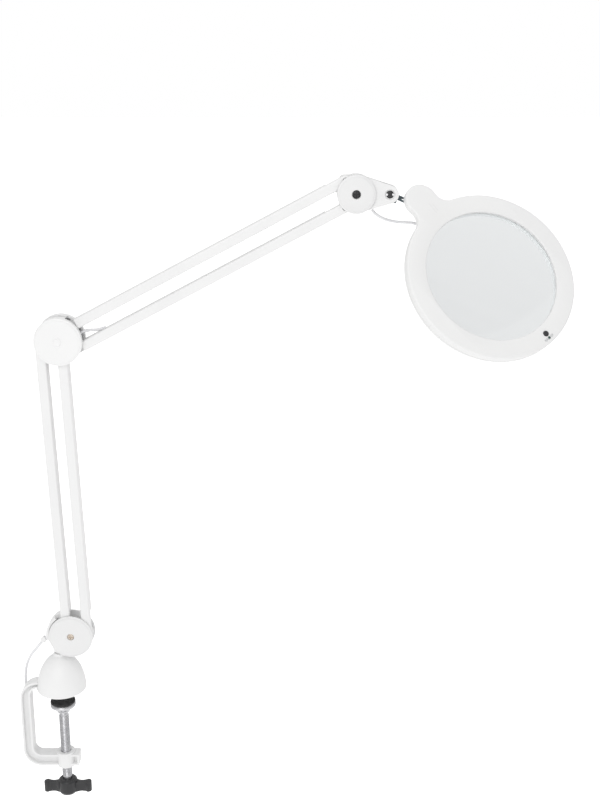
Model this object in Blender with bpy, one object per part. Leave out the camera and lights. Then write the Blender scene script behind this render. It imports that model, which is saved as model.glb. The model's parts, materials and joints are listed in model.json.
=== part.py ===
"""A magnifying lamp on a table clamp: a swivelling knuckle, two parallel-bar arms and a slim lens head.

All dimensions are in millimetres. +X runs along the arm, +Y away from the front of the lamp, +Z up.
The origin is on the swivel axis, in the plane of the tabletop that the clamp grips.
"""

import math

import bpy
from mathutils import Matrix, Vector
from mathutils.geometry import tessellate_polygon

MM = 0.001
GAP = 0.3  # clearance between two pieces that touch
AXIS_X = Vector((1, 0, 0))
AXIS_Y = Vector((0, 1, 0))
AXIS_Z = Vector((0, 0, 1))
ROUND_STEPS = 32  # facets of a large round piece
SMALL_STEPS = 16  # facets of a pin or a hole

# Arms: the four knuckle positions follow from these.
SWIVEL_OFFSET = 13.1  # swivel axis to the base knuckle centre
BASE_HEIGHT = 60.0  # tabletop to the base knuckle centre
LOWER_LENGTH = 295.1
LOWER_RISE = 91.8  # degrees from +X
UPPER_LENGTH = 281.9
UPPER_RISE = 27.9
LOWER_PITCH = 19.6  # between the two pivots of the lower arm
UPPER_PITCH = 23.4  # between the two pivots of the upper arm
BASE_PIVOT_SHIFT = 5.6  # middle of the base pivots from the knuckle centre
ELBOW_LOWER_SHIFT = -8.0
ELBOW_UPPER_SHIFT = 9.5
HEAD_PIVOT_SHIFT = -9.5

# Bars
BAR_WIDTH = 9.2
BAR_HALF_DEPTH = 6.5
BAR_CHAMFER = 1.3
LUG_INNER = 1.1  # distance of a lug's inner face from the middle plane
LUG_EDGE = 0.6  # bevel of a lug's outer edge
LUG_REACH_BASE = 24.0  # where a bar becomes full depth, from the pivot
LUG_REACH_ELBOW_LEFT = 13.0
LUG_REACH_ELBOW_RIGHT = 21.0
LUG_REACH_UPPER_TOP = 8.0
LUG_REACH_UPPER_BOTTOM = 13.5
LUG_REACH_HEAD = 18.0
CHANNEL_END_WALL = 6.0
CHANNEL_HALF_WIDTH = 3.3
CHANNEL_FLOOR = -4.9
PIN_RADIUS = 2.4
PIN_HOLE = 2.7
PIN_END = 6.3
SPRING_RADIUS = 2.5
SPRING_LENGTH = 120.0
SPRING_TURNS = 10
LOWER_SPRING_START = 50.0  # the spring's first turn, from the bar's first pivot
UPPER_SPRING_START = 45.0

# Knuckles
PLATE_HALF = 0.8
DISC_INNER = 6.8
BASE_DISC_RADIUS = 21.5
BASE_DISC_FACE = 9.5
ELBOW_DISC_RADIUS = 22.0
ELBOW_DISC_FACE = 13.0
ELBOW_DISC_WALL = 2.2
ELBOW_SKIRT = (72, 160)  # degrees round the elbow covers where no bar passes and their rims reach in
ELBOW_SKIRT_EDGE = 2.2  # the skirt's edge from the middle plane
HEAD_DISC_RADIUS = 17.0
HEAD_DISC_FACE = 10.0
DISC_HOLE = 3.9
DISC_BEVEL_WIDE = 1.9
DISC_BEVEL_DEEP = 0.9
SCREW_HEAD_RADIUS = 3.5
ELBOW_POST = (-6.0, 13.5)
ELBOW_POST_RADIUS = 3.2
SHROUD_RADIUS = 24.5
SHROUD_INNER = 21.9
SPINDLE_RADIUS = 4.2

# Clamp and base cover
ARM_BOTTOM = 2.5
ARM_TOP = 9.0
CLAMP_RIGHT = 14.0
SPINE_OUTER = -41.0
SPINE_INNER = -31.0
LOWER_ARM_TOP = -72.0
LOWER_ARM_BOTTOM = -84.0
CLAMP_HALF_WIDTH = 6.5
CLAMP_OUTER_CORNER = 18.0
CLAMP_INNER_CORNER = 8.0
WEB_HALF = 2.2
FLANGE = 2.0
BOSS_RADIUS = 9.0
BOSS_TOP = 14.0
COVER_RADIUS = 24.0
COVER_TOP = 39.6
SCREW_RADIUS = 5.0
SCREW_TOP = -22.0
SCREW_BOTTOM = -104.0
SCREW_END_RADIUS = 4.2
BALL_RADIUS = 3.0
KNOB_HALF_LENGTH = 24.0
KNOB_HALF_WIDTH = 5.0
HUB_RADIUS = 9.5
PAD_RADIUS = 12.5
PAD_TOP = 6.5  # above the screw's end

# Nose, link and head
NOSE_X = 29.5
NOSE_Z = -0.3
NOSE_RADIUS = 7.8
NOSE_SLOT = 3.9
NOSE_SLOT_REACH = 9.5  # the clevis slot's end, from the nose screw
NOSE_RECESS_RADIUS = 4.6
NOSE_RECESS_FLOOR = 5.0
NOSE_SCREW_RADIUS = 3.4
NUT_RADIUS = 4.9
WASHER_RADIUS = 6.0
LINK_SLOPE = -23.18  # degrees from +X
LINK_EYE_RADIUS = 6.3
LINK_EYE_HALF = 2.6
LINK_SHAFT_RADIUS = 2.3
LINK_TO_LOBE = 27.0
LINK_DEPTH = 13.0  # link axis below the face of the head
HEAD_NORMAL = Vector((0.2382, -0.7959, 0.5565)).normalized()
HEAD_FORWARD = Vector((0.6661, -0.2831, -0.6900))
LENS_OFFSET = 90.1  # lobe centre to lens centre
HEAD_RADIUS = 77.5
LOBE_RADIUS = 15.0
FILLET_RADIUS = 12.0
APERTURE = 60.4
LENS_RADIUS = 63.5
LENS_SEAT = 64.0
LENS_LEDGE = 2.6  # the ledge over the lens's edge, below the face of the head
LENS_EDGE_TOP = -3.0
LENS_EDGE_BOTTOM = -6.0
LENS_SAG = 4.0
TOP_SHELL_DEPTH = 6.5
HEAD_DEPTH = 13.5
BUTTON = (158.7, -0.6)
BUTTON_RADIUS = 2.4
INDICATOR = (163.2, -0.7)
INDICATOR_RADIUS = 1.1
SCREW_CIRCLE = 74.4
CABLE_RADIUS = 1.35
CABLE_DROP = (-38.9, 11.6)  # where the cable hangs straight down behind the clamp


def clear_scene():
    for obj in list(bpy.data.objects):
        bpy.data.objects.remove(obj, do_unlink=True)


# ---------------------------------------------------------------- shapes, as (points, faces)


def circle(x, y, radius, steps=SMALL_STEPS, start=0.0, end=360.0):
    """Points of an arc. A full turn leaves out its last point, which is the first one again."""
    whole = abs(end - start) >= 360.0
    count = steps if whole else steps + 1
    points = []
    for i in range(count):
        angle = math.radians(start + (end - start) * i / steps)
        points.append((x + radius * math.cos(angle), y + radius * math.sin(angle)))
    return points


def hull(points):
    """Convex outline round the points, anticlockwise."""
    ordered = sorted(set((round(x, 5), round(y, 5)) for x, y in points))

    def half(sequence):
        out = []
        for p in sequence:
            while len(out) > 1:
                ax, ay = out[-2]
                bx, by = out[-1]
                if (bx - ax) * (p[1] - ay) - (by - ay) * (p[0] - ax) > 0:
                    break
                out.pop()
            out.append(p)
        return out

    lower = half(ordered)
    upper = half(reversed(ordered))
    return lower[:-1] + upper[:-1]


def hull_of_circles(circles, steps=24):
    return hull([p for x, y, radius in circles for p in circle(x, y, radius, steps)])


def keep_right_of(outline, limit):
    """The part of a convex outline with x above the limit."""
    out = []
    for i, (x1, y1) in enumerate(outline):
        x0, y0 = outline[i - 1]
        if (x0 - limit) * (x1 - limit) < 0:
            share = (limit - x0) / (x1 - x0)
            out.append((limit, y0 + share * (y1 - y0)))
        if x1 >= limit:
            out.append((x1, y1))
    return out


def rounded(corners, steps=6):
    """A polygon whose corners (x, y, radius) are rounded."""
    out = []
    for i, (x, y, radius) in enumerate(corners):
        here = Vector((x, y))
        before = Vector(corners[i - 1][:2]) - here
        after = Vector(corners[(i + 1) % len(corners)][:2]) - here
        before.normalize()
        after.normalize()
        half = before.angle(after) / 2
        centre = here + (before + after).normalized() * (radius / math.sin(half))
        first = here + before * (radius / math.tan(half)) - centre
        last = here + after * (radius / math.tan(half)) - centre
        turn = first.angle_signed(last)
        for k in range(steps + 1):
            spoke = Matrix.Rotation(-turn * k / steps, 2) @ first
            out.append(tuple(centre + spoke))
    return out


def layered(levels, plane="XY"):
    """A solid from stacked outlines. levels: (height, [outer loop, hole loop, ...]), all alike in counts."""
    place = {
        "XY": lambda a, b, c: (a, b, c),
        "XZ": lambda a, b, c: (a, c, b),
        "YZ": lambda a, b, c: (c, a, b),
    }[plane]
    counts = [len(loop) for loop in levels[0][1]]
    size = sum(counts)
    points = []
    for height, loops in levels:
        points += [place(x, y, height) for loop in loops for x, y in loop]
    faces = []
    top = size * (len(levels) - 1)
    for shift, loops in ((0, levels[0][1]), (top, levels[-1][1])):
        flat = [[Vector((x, y, 0)) for x, y in loop] for loop in loops]
        faces += [tuple(i + shift for i in face) for face in tessellate_polygon(flat)]
    for level in range(len(levels) - 1):
        first = level * size
        for count in counts:
            for i in range(count):
                a = first + i
                b = first + (i + 1) % count
                faces.append((a, b, b + size, a + size))
            first += count
    return points, faces


def prism(loops, low, high, plane="XY"):
    return layered([(low, loops), (high, loops)], plane)


def box(low, high):
    (x0, y0, z0), (x1, y1, z1) = low, high
    return prism([[(x0, y0), (x1, y0), (x1, y1), (x0, y1)]], z0, z1)


def lathe(profile, steps=ROUND_STEPS, closed=False, axis="Z"):
    """Spins (radius, height) points. closed joins the last point to the first, for a ring."""
    points = []
    rings = []
    for radius, height in profile:
        if radius == 0:
            rings.append([len(points)])
            points.append((0.0, 0.0, height))
            continue
        rings.append([len(points) + i for i in range(steps)])
        points += [(x, y, height) for x, y in circle(0, 0, radius, steps)]
    faces = []
    pairs = list(zip(rings, rings[1:]))
    if closed:
        pairs.append((rings[-1], rings[0]))
    for low, high in pairs:
        for i in range(steps):
            k = (i + 1) % steps
            if len(low) == 1:
                faces.append((low[0], high[k], high[i]))
            elif len(high) == 1:
                faces.append((low[i], low[k], high[0]))
            else:
                faces.append((low[i], low[k], high[k], high[i]))
    if axis == "Y":
        points = [(x, z, -y) for x, y, z in points]
    if axis == "X":
        points = [(z, y, -x) for x, y, z in points]
    return points, faces


def cylinder(radius, low, high, steps=SMALL_STEPS, axis="Z", chamfer=0.0):
    profile = [(0, low), (radius - chamfer, low), (radius, low + chamfer)]
    profile += [(radius, high - chamfer), (radius - chamfer, high), (0, high)]
    if not chamfer:
        profile = [(0, low), (radius, low), (radius, high), (0, high)]
    return lathe(profile, steps, axis=axis)


def smooth_path(points, per_span=3):
    """A curve through the points."""
    nodes = [Vector(p) for p in points]
    nodes = [2 * nodes[0] - nodes[1]] + nodes + [2 * nodes[-1] - nodes[-2]]
    path = []
    for i in range(1, len(nodes) - 2):
        a, b, c, d = nodes[i - 1 : i + 3]
        for k in range(per_span):
            t = k / per_span
            path.append(
                0.5 * (2 * b + (c - a) * t + (2 * a - 5 * b + 4 * c - d) * t * t)
                + 0.5 * (3 * b - 3 * c + d - a) * t**3
            )
    path.append(nodes[-2])
    return path


def tube(path, radius, sides=8):
    """A round cable along the path, with flat ends."""
    points = []
    faces = []
    side = None
    for i, centre in enumerate(path):
        ahead = path[min(i + 1, len(path) - 1)] - path[max(i - 1, 0)]
        ahead.normalize()
        if side is None:
            side = ahead.orthogonal()
        side = (side - ahead * side.dot(ahead)).normalized()
        up = ahead.cross(side)
        points += [tuple(centre + radius * (side * x + up * y)) for x, y in circle(0, 0, 1, sides)]
    for ring in range(len(path) - 1):
        for i in range(sides):
            a = ring * sides + i
            b = ring * sides + (i + 1) % sides
            faces.append((a, b, b + sides, a + sides))
    faces.append(tuple(range(sides)))
    faces.append(tuple(range(len(points) - sides, len(points))))
    return points, faces


def moved(shape, x=0.0, y=0.0, z=0.0):
    points, faces = shape
    return [(a + x, b + y, c + z) for a, b, c in points], faces


def turned(shape, angle, axis):
    points, faces = shape
    turn = Matrix.Rotation(math.radians(angle), 3, axis)
    return [tuple(turn @ Vector(p)) for p in points], faces


# ---------------------------------------------------------------- objects


def blank(shape):
    """A loose object that holds the shape, with its faces turned outwards."""
    points, faces = shape
    mesh = bpy.data.meshes.new("shape")
    mesh.from_pydata([Vector(p) * MM for p in points], [], faces)
    obj = bpy.data.objects.new("shape", mesh)
    bpy.context.scene.collection.objects.link(obj)
    bpy.context.view_layer.objects.active = obj
    obj.select_set(True)
    bpy.ops.object.mode_set(mode="EDIT")
    bpy.ops.mesh.select_all(action="SELECT")
    bpy.ops.mesh.normals_make_consistent(inside=False)
    bpy.ops.object.mode_set(mode="OBJECT")
    obj.select_set(False)
    return obj


def combine(obj, shape, operation):
    other = blank(shape)
    step = obj.modifiers.new("step", "BOOLEAN")
    step.operation = operation
    step.solver = "EXACT"
    step.object = other
    graph = bpy.context.evaluated_depsgraph_get()
    mesh = bpy.data.meshes.new_from_object(obj.evaluated_get(graph))
    obj.modifiers.clear()
    obj.data = mesh
    bpy.data.objects.remove(other, do_unlink=True)


def solid(shape, add=(), cut=()):
    """The first shape with some joined on and then some cut away."""
    obj = blank(shape)
    for other in add:
        combine(obj, other, "UNION")
    for other in cut:
        combine(obj, other, "DIFFERENCE")
    return obj


def frame(name, origin, x_axis=AXIS_X, y_axis=AXIS_Y):
    """An empty at a joint, whose own axes the pieces of one moving body are drawn in."""
    empty = bpy.data.objects.new(name, None)
    bpy.context.scene.collection.objects.link(empty)
    z_axis = x_axis.cross(y_axis)
    matrix = Matrix((x_axis, y_axis, z_axis)).transposed().to_4x4()
    matrix.translation = Vector(origin) * MM
    empty.matrix_world = matrix
    return empty


def piece(name, obj, material, parent):
    obj.name = name
    obj.data.name = name
    obj.data.materials.clear()
    obj.data.materials.append(material)
    obj.parent = parent
    obj.data.shade_smooth()
    obj.data.set_sharp_from_angle(angle=math.radians(35))
    return obj


def material(name, color, roughness, metallic=0.0, transmission=0.0):
    made = bpy.data.materials.new(name)
    made.use_nodes = True
    shader = made.node_tree.nodes["Principled BSDF"]
    shader.inputs["Base Color"].default_value = (*color, 1)
    shader.inputs["Roughness"].default_value = roughness
    shader.inputs["Metallic"].default_value = metallic
    shader.inputs["Transmission Weight"].default_value = transmission
    made.diffuse_color = (*color, 1)
    return made


def make_materials():
    return {
        "paint": material("white_paint", (0.84, 0.84, 0.83), 0.35),
        "plastic": material("white_plastic", (0.86, 0.86, 0.85), 0.4),
        "shell": material("head_plastic", (0.83, 0.83, 0.82), 0.38),
        "cable": material("white_cable", (0.82, 0.82, 0.8), 0.5),
        "steel": material("bright_steel", (0.6, 0.6, 0.6), 0.3, 1.0),
        "dark": material("dark_steel", (0.16, 0.18, 0.2), 0.4, 0.9),
        "brass": material("yellow_zinc", (0.55, 0.45, 0.3), 0.4, 0.8),
        "rubber": material("black_rubber", (0.03, 0.03, 0.03), 0.8),
        "black": material("black_plastic", (0.03, 0.03, 0.03), 0.4),
        "fibre": material("grey_fibre", (0.25, 0.24, 0.22), 0.8),
        "glass": material("lens_glass", (0.93, 0.96, 0.96), 0.02, 0.0, 1.0),
        "frost": material("frosted_plastic", (0.9, 0.9, 0.88), 0.5, 0.0, 0.5),
        "board": material("led_board", (0.8, 0.82, 0.8), 0.5),
        "green": material("indicator_green", (0.15, 0.5, 0.25), 0.3),
    }


# ---------------------------------------------------------------- clamp and base cover


def clamp_outline(inset):
    """The C of the clamp seen from the front, drawn in by the inset."""
    left = SPINE_OUTER + inset
    right = CLAMP_RIGHT - inset
    inner = SPINE_INNER - inset
    big = CLAMP_OUTER_CORNER - inset
    small = CLAMP_INNER_CORNER + inset
    end = 1.0
    return rounded(
        [
            (right, ARM_TOP - inset, end),
            (left, ARM_TOP - inset, big),
            (left, LOWER_ARM_BOTTOM + inset, big),
            (right, LOWER_ARM_BOTTOM + inset, end),
            (right, LOWER_ARM_TOP - inset, end),
            (inner, LOWER_ARM_TOP - inset, small),
            (inner, ARM_BOTTOM + inset, small),
            (right, ARM_BOTTOM + inset, end),
        ]
    )


def make_clamp(m, base):
    body = prism([clamp_outline(0)], -CLAMP_HALF_WIDTH, CLAMP_HALF_WIDTH, "XZ")
    front = prism([clamp_outline(FLANGE)], -CLAMP_HALF_WIDTH - 1, -WEB_HALF, "XZ")
    rear = prism([clamp_outline(FLANGE)], WEB_HALF, CLAMP_HALF_WIDTH + 1, "XZ")
    # The pockets are cut before the bosses are added, so that the bosses stay whole.
    frame_obj = solid(body, cut=[front, rear])
    combine(frame_obj, cylinder(BOSS_RADIUS, ARM_BOTTOM + 0.8, BOSS_TOP, 32), "UNION")
    combine(frame_obj, cylinder(BOSS_RADIUS, LOWER_ARM_BOTTOM - 2, LOWER_ARM_TOP + 2, 32), "UNION")
    spindle_hole = cylinder(SPINDLE_RADIUS + GAP, 0.0, 16.0, 32)
    combine(frame_obj, spindle_hole, "DIFFERENCE")
    screw_hole = cylinder(SCREW_RADIUS + GAP, LOWER_ARM_BOTTOM - 4, LOWER_ARM_TOP + 4, 32)
    combine(frame_obj, screw_hole, "DIFFERENCE")
    piece("clamp_frame", frame_obj, m["paint"], base)

    pad = rounded([(13, -6.2, 2), (13, 6.2, 2), (-24, 6.2, 2), (-24, -6.2, 2)], 4)
    piece("jaw_pad", solid(prism([pad], 0.0, ARM_BOTTOM - GAP)), m["rubber"], base)


def make_base_cover(m, base):
    foot = BOSS_TOP + 0.5
    inner = [(7.5, 31.6), (11.2, 30.6), (15.0, 26.2), (18.0, 20.0), (20.3, 13.0), (21.4, 6.6)]
    outer = [(COVER_RADIUS, 0.5), (COVER_RADIUS, 2.5), (23.6, 6.6), (22.5, 13.2), (20.1, 20.8)]
    outer.append((16.5, 27.8))
    crown = [(12.2, 33.0), (8.0, 36.4), (6.5, 37.6), (6.5, COVER_TOP), (4.6, COVER_TOP)]
    profile = [(4.6, foot), (7.5, foot)] + inner + [(COVER_RADIUS - 2.2, 0.5)] + outer + crown
    slot = box((-30, -CLAMP_HALF_WIDTH - 0.5, -1), (-8, CLAMP_HALF_WIDTH + 0.5, ARM_TOP + 0.5))
    cover = solid(lathe(profile, ROUND_STEPS, closed=True), cut=[slot])
    piece("base_cover", cover, m["plastic"], base)


def make_clamp_screw(m):
    foot = frame("clamp_slide", (0, 0, SCREW_TOP))
    spin = frame("clamp_spin", (0, 0, SCREW_TOP))
    # The screw is drawn with shallow thread ridges, and a ball end that turns in the pressure pad.
    length = SCREW_BOTTOM - SCREW_TOP
    profile = [(0, 0), (BALL_RADIUS, 0), (BALL_RADIUS, -4.0), (SCREW_END_RADIUS, -5.0)]
    z = -6.0
    while z > length + 8:
        profile += [(SCREW_RADIUS, z - 2.0), (SCREW_RADIUS - 0.7, z - 5.0)]
        z -= 6.0
    profile += [(SCREW_END_RADIUS, length + 3), (SCREW_END_RADIUS, length), (0, length)]
    piece("clamp_screw", solid(lathe(profile, 14)), m["steel"], spin)

    x, y = KNOB_HALF_LENGTH, KNOB_HALF_WIDTH
    knob = rounded([(-x, -y, 4), (x, -y, 4), (x, y, 4), (-x, y, 4)], 5)
    low = length - 14
    high = length + 2
    hub = cylinder(HUB_RADIUS, low, high, 32, chamfer=1.0)
    wings = prism([knob], low + 1.5, high - 4)
    bore = cylinder(SCREW_END_RADIUS + GAP, length - GAP, high + 1, 24)
    piece("clamp_knob", solid(hub, add=[wings], cut=[bore]), m["black"], spin)

    cup = [(0, PAD_TOP), (PAD_RADIUS - 1.5, PAD_TOP), (PAD_RADIUS, PAD_TOP - 1.5), (PAD_RADIUS, 3.0)]
    cup += [(6.5, -2.0), (6.5, -3.4), (BALL_RADIUS + GAP, -3.4), (BALL_RADIUS + GAP, GAP), (0, GAP)]
    piece("pressure_pad", solid(lathe(cup, 32)), m["steel"], foot)
    sole = cylinder(PAD_RADIUS - 0.2, PAD_TOP + GAP, PAD_TOP + 2.0, 32)
    piece("pressure_pad_rubber", solid(sole), m["rubber"], foot)


# ---------------------------------------------------------------- base knuckle


def make_base_knuckle(m, turret):
    left = BASE_PIVOT_SHIFT - LOWER_PITCH / 2
    right = BASE_PIVOT_SHIFT + LOWER_PITCH / 2
    neck = [(-22.5, -5.0), (-19.0, -10.0), (-17.3, -17.5), (-8.9, -17.5), (2.0, -18.0), (10.0, -15.0)]
    rear = circle(0, 0, SHROUD_RADIUS, 18, 112, 184) + neck
    rear += circle(right, 0, 5.0, 12, -70, 90) + [(left + 3.0, 5.2)]
    front = circle(0, 0, SHROUD_RADIUS, 14, 128, 184) + neck + [(13.0, -5.6), (-16.5, -5.6)]
    front += circle(0, 0, SHROUD_INNER, 10, 184, 128)
    # The spindle runs down from the neck through the base cover and the clamp.
    spindle = moved(cylinder(SPINDLE_RADIUS, 4.0 - BASE_HEIGHT, -15.5, 24), x=-SWIVEL_OFFSET)
    bracket = solid(
        prism([rear], -PLATE_HALF, BAR_HALF_DEPTH, "XZ"),
        add=[prism([front], -BAR_HALF_DEPTH, 1.0, "XZ"), spindle],
        cut=[
            moved(cylinder(PIN_HOLE, -9, 9, axis="Y"), x=left),
            moved(cylinder(PIN_HOLE, -9, 9, axis="Y"), x=right),
        ],
    )
    piece("base_bracket", bracket, m["paint"], turret)
    make_disc("base_disc_front", m["plastic"], turret, BASE_DISC_RADIUS, -BASE_DISC_FACE, DISC_HOLE)
    make_disc("base_disc_rear", m["plastic"], turret, BASE_DISC_RADIUS, BASE_DISC_FACE, 0)
    bolt = screw_head(SCREW_HEAD_RADIUS, -BASE_DISC_FACE + 0.6, -DISC_INNER - 0.1)
    piece("base_bolt", bolt, m["brass"], turret)
    for name, x in (("base_pin_left", left), ("base_pin_right", right)):
        pin = moved(cylinder(PIN_RADIUS, -PIN_END, PIN_END, axis="Y", chamfer=0.3), x=x)
        piece(name, solid(pin), m["steel"], turret)
    ring = [(CABLE_RADIUS + GAP, -2.6), (2.9, -2.6), (2.9, 2.6), (CABLE_RADIUS + GAP, 2.6)]
    clip = moved(turned(lathe(ring, 20, closed=True), 41, AXIS_Y), x=-27.9, z=-6.6)
    piece("cable_clip", solid(clip), m["plastic"], turret)


def make_disc(name, mat, parent, radius, face, hole):
    """A flat knuckle cover. face: the outer face's signed distance from the middle plane."""
    side = math.copysign(1, face)
    inner = side * DISC_INNER
    profile = [(hole, inner), (radius, inner), (radius, face - side * DISC_BEVEL_DEEP)]
    profile.append((radius - DISC_BEVEL_WIDE, face))
    profile.append((hole, face))
    piece(name, solid(lathe(profile, ROUND_STEPS, closed=hole > 0, axis="Y")), mat, parent)


def screw_head(radius, low, high):
    """A round head with a crossed slot in its front face."""
    head = cylinder(radius, low, high, 24, axis="Y", chamfer=0.3)
    half = radius * 0.62
    depth = min(1.0, (high - low) * 0.5)
    slots = [
        box((-half, low - 1, -0.45), (half, low + depth, 0.45)),
        box((-0.45, low - 1, -half), (0.45, low + depth, half)),
    ]
    return solid(head, cut=slots)


# ---------------------------------------------------------------- arms


def make_bar(name, mat, parent, length, start, end):
    """A bar along +X from its first pivot. start and end: (reach, side) of the half-depth lug there."""
    half = BAR_WIDTH / 2
    deep = BAR_HALF_DEPTH
    c = BAR_CHAMFER
    section = [(-deep, -half + c), (-deep + c, -half), (deep - c, -half), (deep, -half + c)]
    section += [(deep, half - c), (deep - c, half), (-deep + c, half), (-deep, half - c)]
    body = prism([section], start[0], length - end[0], "YZ")
    lugs = []
    holes = []
    for x, reach, side, turn in ((0, *start, 1), (length, *end, -1)):
        arc = circle(x, 0, half, 14, 90 if turn > 0 else -90, 270 if turn > 0 else 90)
        inside = x + turn * (reach + 1)
        outline = arc + [(inside, -half * turn), (inside, half * turn)]
        faces = sorted((side * LUG_INNER, side * deep))
        slim = [(p, q * (half - LUG_EDGE) / half) for p, q in outline]
        middle = side * (deep - LUG_EDGE)
        levels = [(side * LUG_INNER, [outline]), (middle, [outline]), (side * deep, [slim])]
        lugs.append(layered(sorted(levels, key=lambda level: level[0]), "XZ"))
        holes.append(moved(cylinder(PIN_HOLE, faces[0] - 1, faces[1] + 1, axis="Y"), x=x))
    first = start[0] + CHANNEL_END_WALL
    last = length - end[0] - CHANNEL_END_WALL
    wide = CHANNEL_HALF_WIDTH
    channel = box((first, CHANNEL_FLOOR, -wide), (last, deep + 1, wide))
    piece(name, solid(body, add=lugs, cut=[channel] + holes), mat, parent)


def make_spring(name, mat, parent, start):
    """A close-wound tension spring lying in a bar's channel, with a straight hook end at each side."""
    profile = [(0, start - 12.0), (0.9, start - 12.0), (0.9, start - 1.0)]
    pitch = SPRING_LENGTH / SPRING_TURNS
    for i in range(SPRING_TURNS):
        x = start + i * pitch
        profile += [(SPRING_RADIUS - 0.6, x), (SPRING_RADIUS, x + pitch * 0.5)]
    end = start + SPRING_LENGTH
    profile += [(SPRING_RADIUS - 0.6, end), (0.9, end + 1.0), (0.9, end + 12.0), (0, end + 12.0)]
    piece(name, solid(lathe(profile, 8, axis="X")), mat, parent)


# ---------------------------------------------------------------- elbow


def make_elbow(m, elbow):
    lower = [(ELBOW_LOWER_SHIFT - LOWER_PITCH / 2, 0), (ELBOW_LOWER_SHIFT + LOWER_PITCH / 2, 0)]
    upper = [(ELBOW_UPPER_SHIFT, UPPER_PITCH / 2), (ELBOW_UPPER_SHIFT, -UPPER_PITCH / 2)]
    outline = hull_of_circles([(x, z, 3.5) for x, z in lower + upper] + [(*ELBOW_POST, 5.0)])
    holes = [circle(x, z, PIN_HOLE) for x, z in lower + upper]
    holes.append(circle(*ELBOW_POST, ELBOW_POST_RADIUS + GAP))
    plate = solid(prism([outline] + holes, -PLATE_HALF, PLATE_HALF, "XZ"))
    piece("elbow_plate", plate, m["steel"], elbow)

    face = ELBOW_DISC_FACE
    radius = ELBOW_DISC_RADIUS
    wall = ELBOW_DISC_WALL
    for name, side, hole in (("elbow_disc_front", -1, DISC_HOLE), ("elbow_disc_rear", 1, 0)):
        profile = [(hole, side * (face - wall)), (radius - wall, side * (face - wall))]
        profile += [(radius - wall, side * DISC_INNER), (radius, side * DISC_INNER)]
        profile += [(radius, side * (face - DISC_BEVEL_DEEP)), (radius - DISC_BEVEL_WIDE, side * face)]
        profile.append((hole, side * face))
        disc = lathe(profile, ROUND_STEPS, closed=hole > 0, axis="Y")
        first, last = ELBOW_SKIRT
        arc = circle(0, 0, radius - 0.4, 10, first, last)
        arc += circle(0, 0, radius - wall + 0.2, 10, last, first)
        low, high = sorted((side * ELBOW_SKIRT_EDGE, side * (DISC_INNER + 1.0)))
        piece(name, solid(disc, add=[prism([arc], low, high, "XZ")]), m["plastic"], elbow)
    plug = cylinder(DISC_HOLE - GAP, -face - 0.3, -face + wall, 24, axis="Y", chamfer=0.4)
    piece("elbow_plug", solid(plug), m["plastic"], elbow)
    end = face - wall - GAP
    post = moved(cylinder(ELBOW_POST_RADIUS, -end, end, axis="Y"), x=ELBOW_POST[0], z=ELBOW_POST[1])
    piece("elbow_post", solid(post), m["steel"], elbow)

    pins = (
        ("elbow_pin_lower_left", lower[0], -PIN_END, PLATE_HALF - 0.1),
        ("elbow_pin_lower_right", lower[1], -PIN_END, PLATE_HALF - 0.1),
        ("elbow_pin_upper_top", upper[0], -PLATE_HALF + 0.1, PIN_END),
        ("elbow_pin_upper_bottom", upper[1], -PLATE_HALF + 0.1, PIN_END),
    )
    for name, (x, z), low, high in pins:
        pin = moved(cylinder(PIN_RADIUS, low, high, axis="Y"), x=x, z=z)
        piece(name, solid(pin), m["steel"], elbow)


# ---------------------------------------------------------------- head knuckle


def make_head_knuckle(m, knuckle):
    x = HEAD_PIVOT_SHIFT
    half = UPPER_PITCH / 2
    nose = (NOSE_X, NOSE_Z, NOSE_RADIUS)
    wedge = hull_of_circles([(0, 0, 16.5), nose], 36)
    rear = hull([p for z in (half, -half) for p in circle(x, z, 3.8)] + keep_right_of(wedge, x))
    holes = [moved(cylinder(PIN_HOLE, -9, 9, axis="Y"), x=x, z=z) for z in (half, -half)]
    recess = cylinder(NOSE_RECESS_RADIUS, -9, -NOSE_RECESS_FLOOR, 24, axis="Y")
    slot = box((NOSE_X - NOSE_SLOT_REACH, -NOSE_SLOT, -30), (NOSE_X + 20, NOSE_SLOT, 30))
    bracket = solid(
        prism([rear], -PLATE_HALF, BAR_HALF_DEPTH, "XZ"),
        add=[prism([keep_right_of(wedge, -3.5)], -BAR_HALF_DEPTH, 1.0, "XZ")],
        cut=holes
        + [
            slot,
            cylinder(PIN_HOLE, -9, 9, axis="Y"),
            moved(cylinder(PIN_HOLE, -9, 9, axis="Y"), x=NOSE_X, z=NOSE_Z),
            moved(recess, x=NOSE_X, z=NOSE_Z),
        ],
    )
    piece("head_bracket", bracket, m["paint"], knuckle)
    radius = HEAD_DISC_RADIUS
    make_disc("head_disc_front", m["plastic"], knuckle, radius, -HEAD_DISC_FACE, DISC_HOLE)
    make_disc("head_disc_rear", m["plastic"], knuckle, radius, HEAD_DISC_FACE, 0)

    bolt = screw_head(SCREW_HEAD_RADIUS, -HEAD_DISC_FACE + 1.6, -DISC_INNER)
    combine(bolt, cylinder(PIN_RADIUS, -DISC_INNER - 0.5, 6.2, axis="Y"), "UNION")
    piece("head_bolt", bolt, m["dark"], knuckle)
    for name, z in (("head_pin_top", half), ("head_pin_bottom", -half)):
        pin = moved(cylinder(PIN_RADIUS, -PIN_END, PIN_END, axis="Y"), x=x, z=z)
        piece(name, solid(pin), m["steel"], knuckle)


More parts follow.
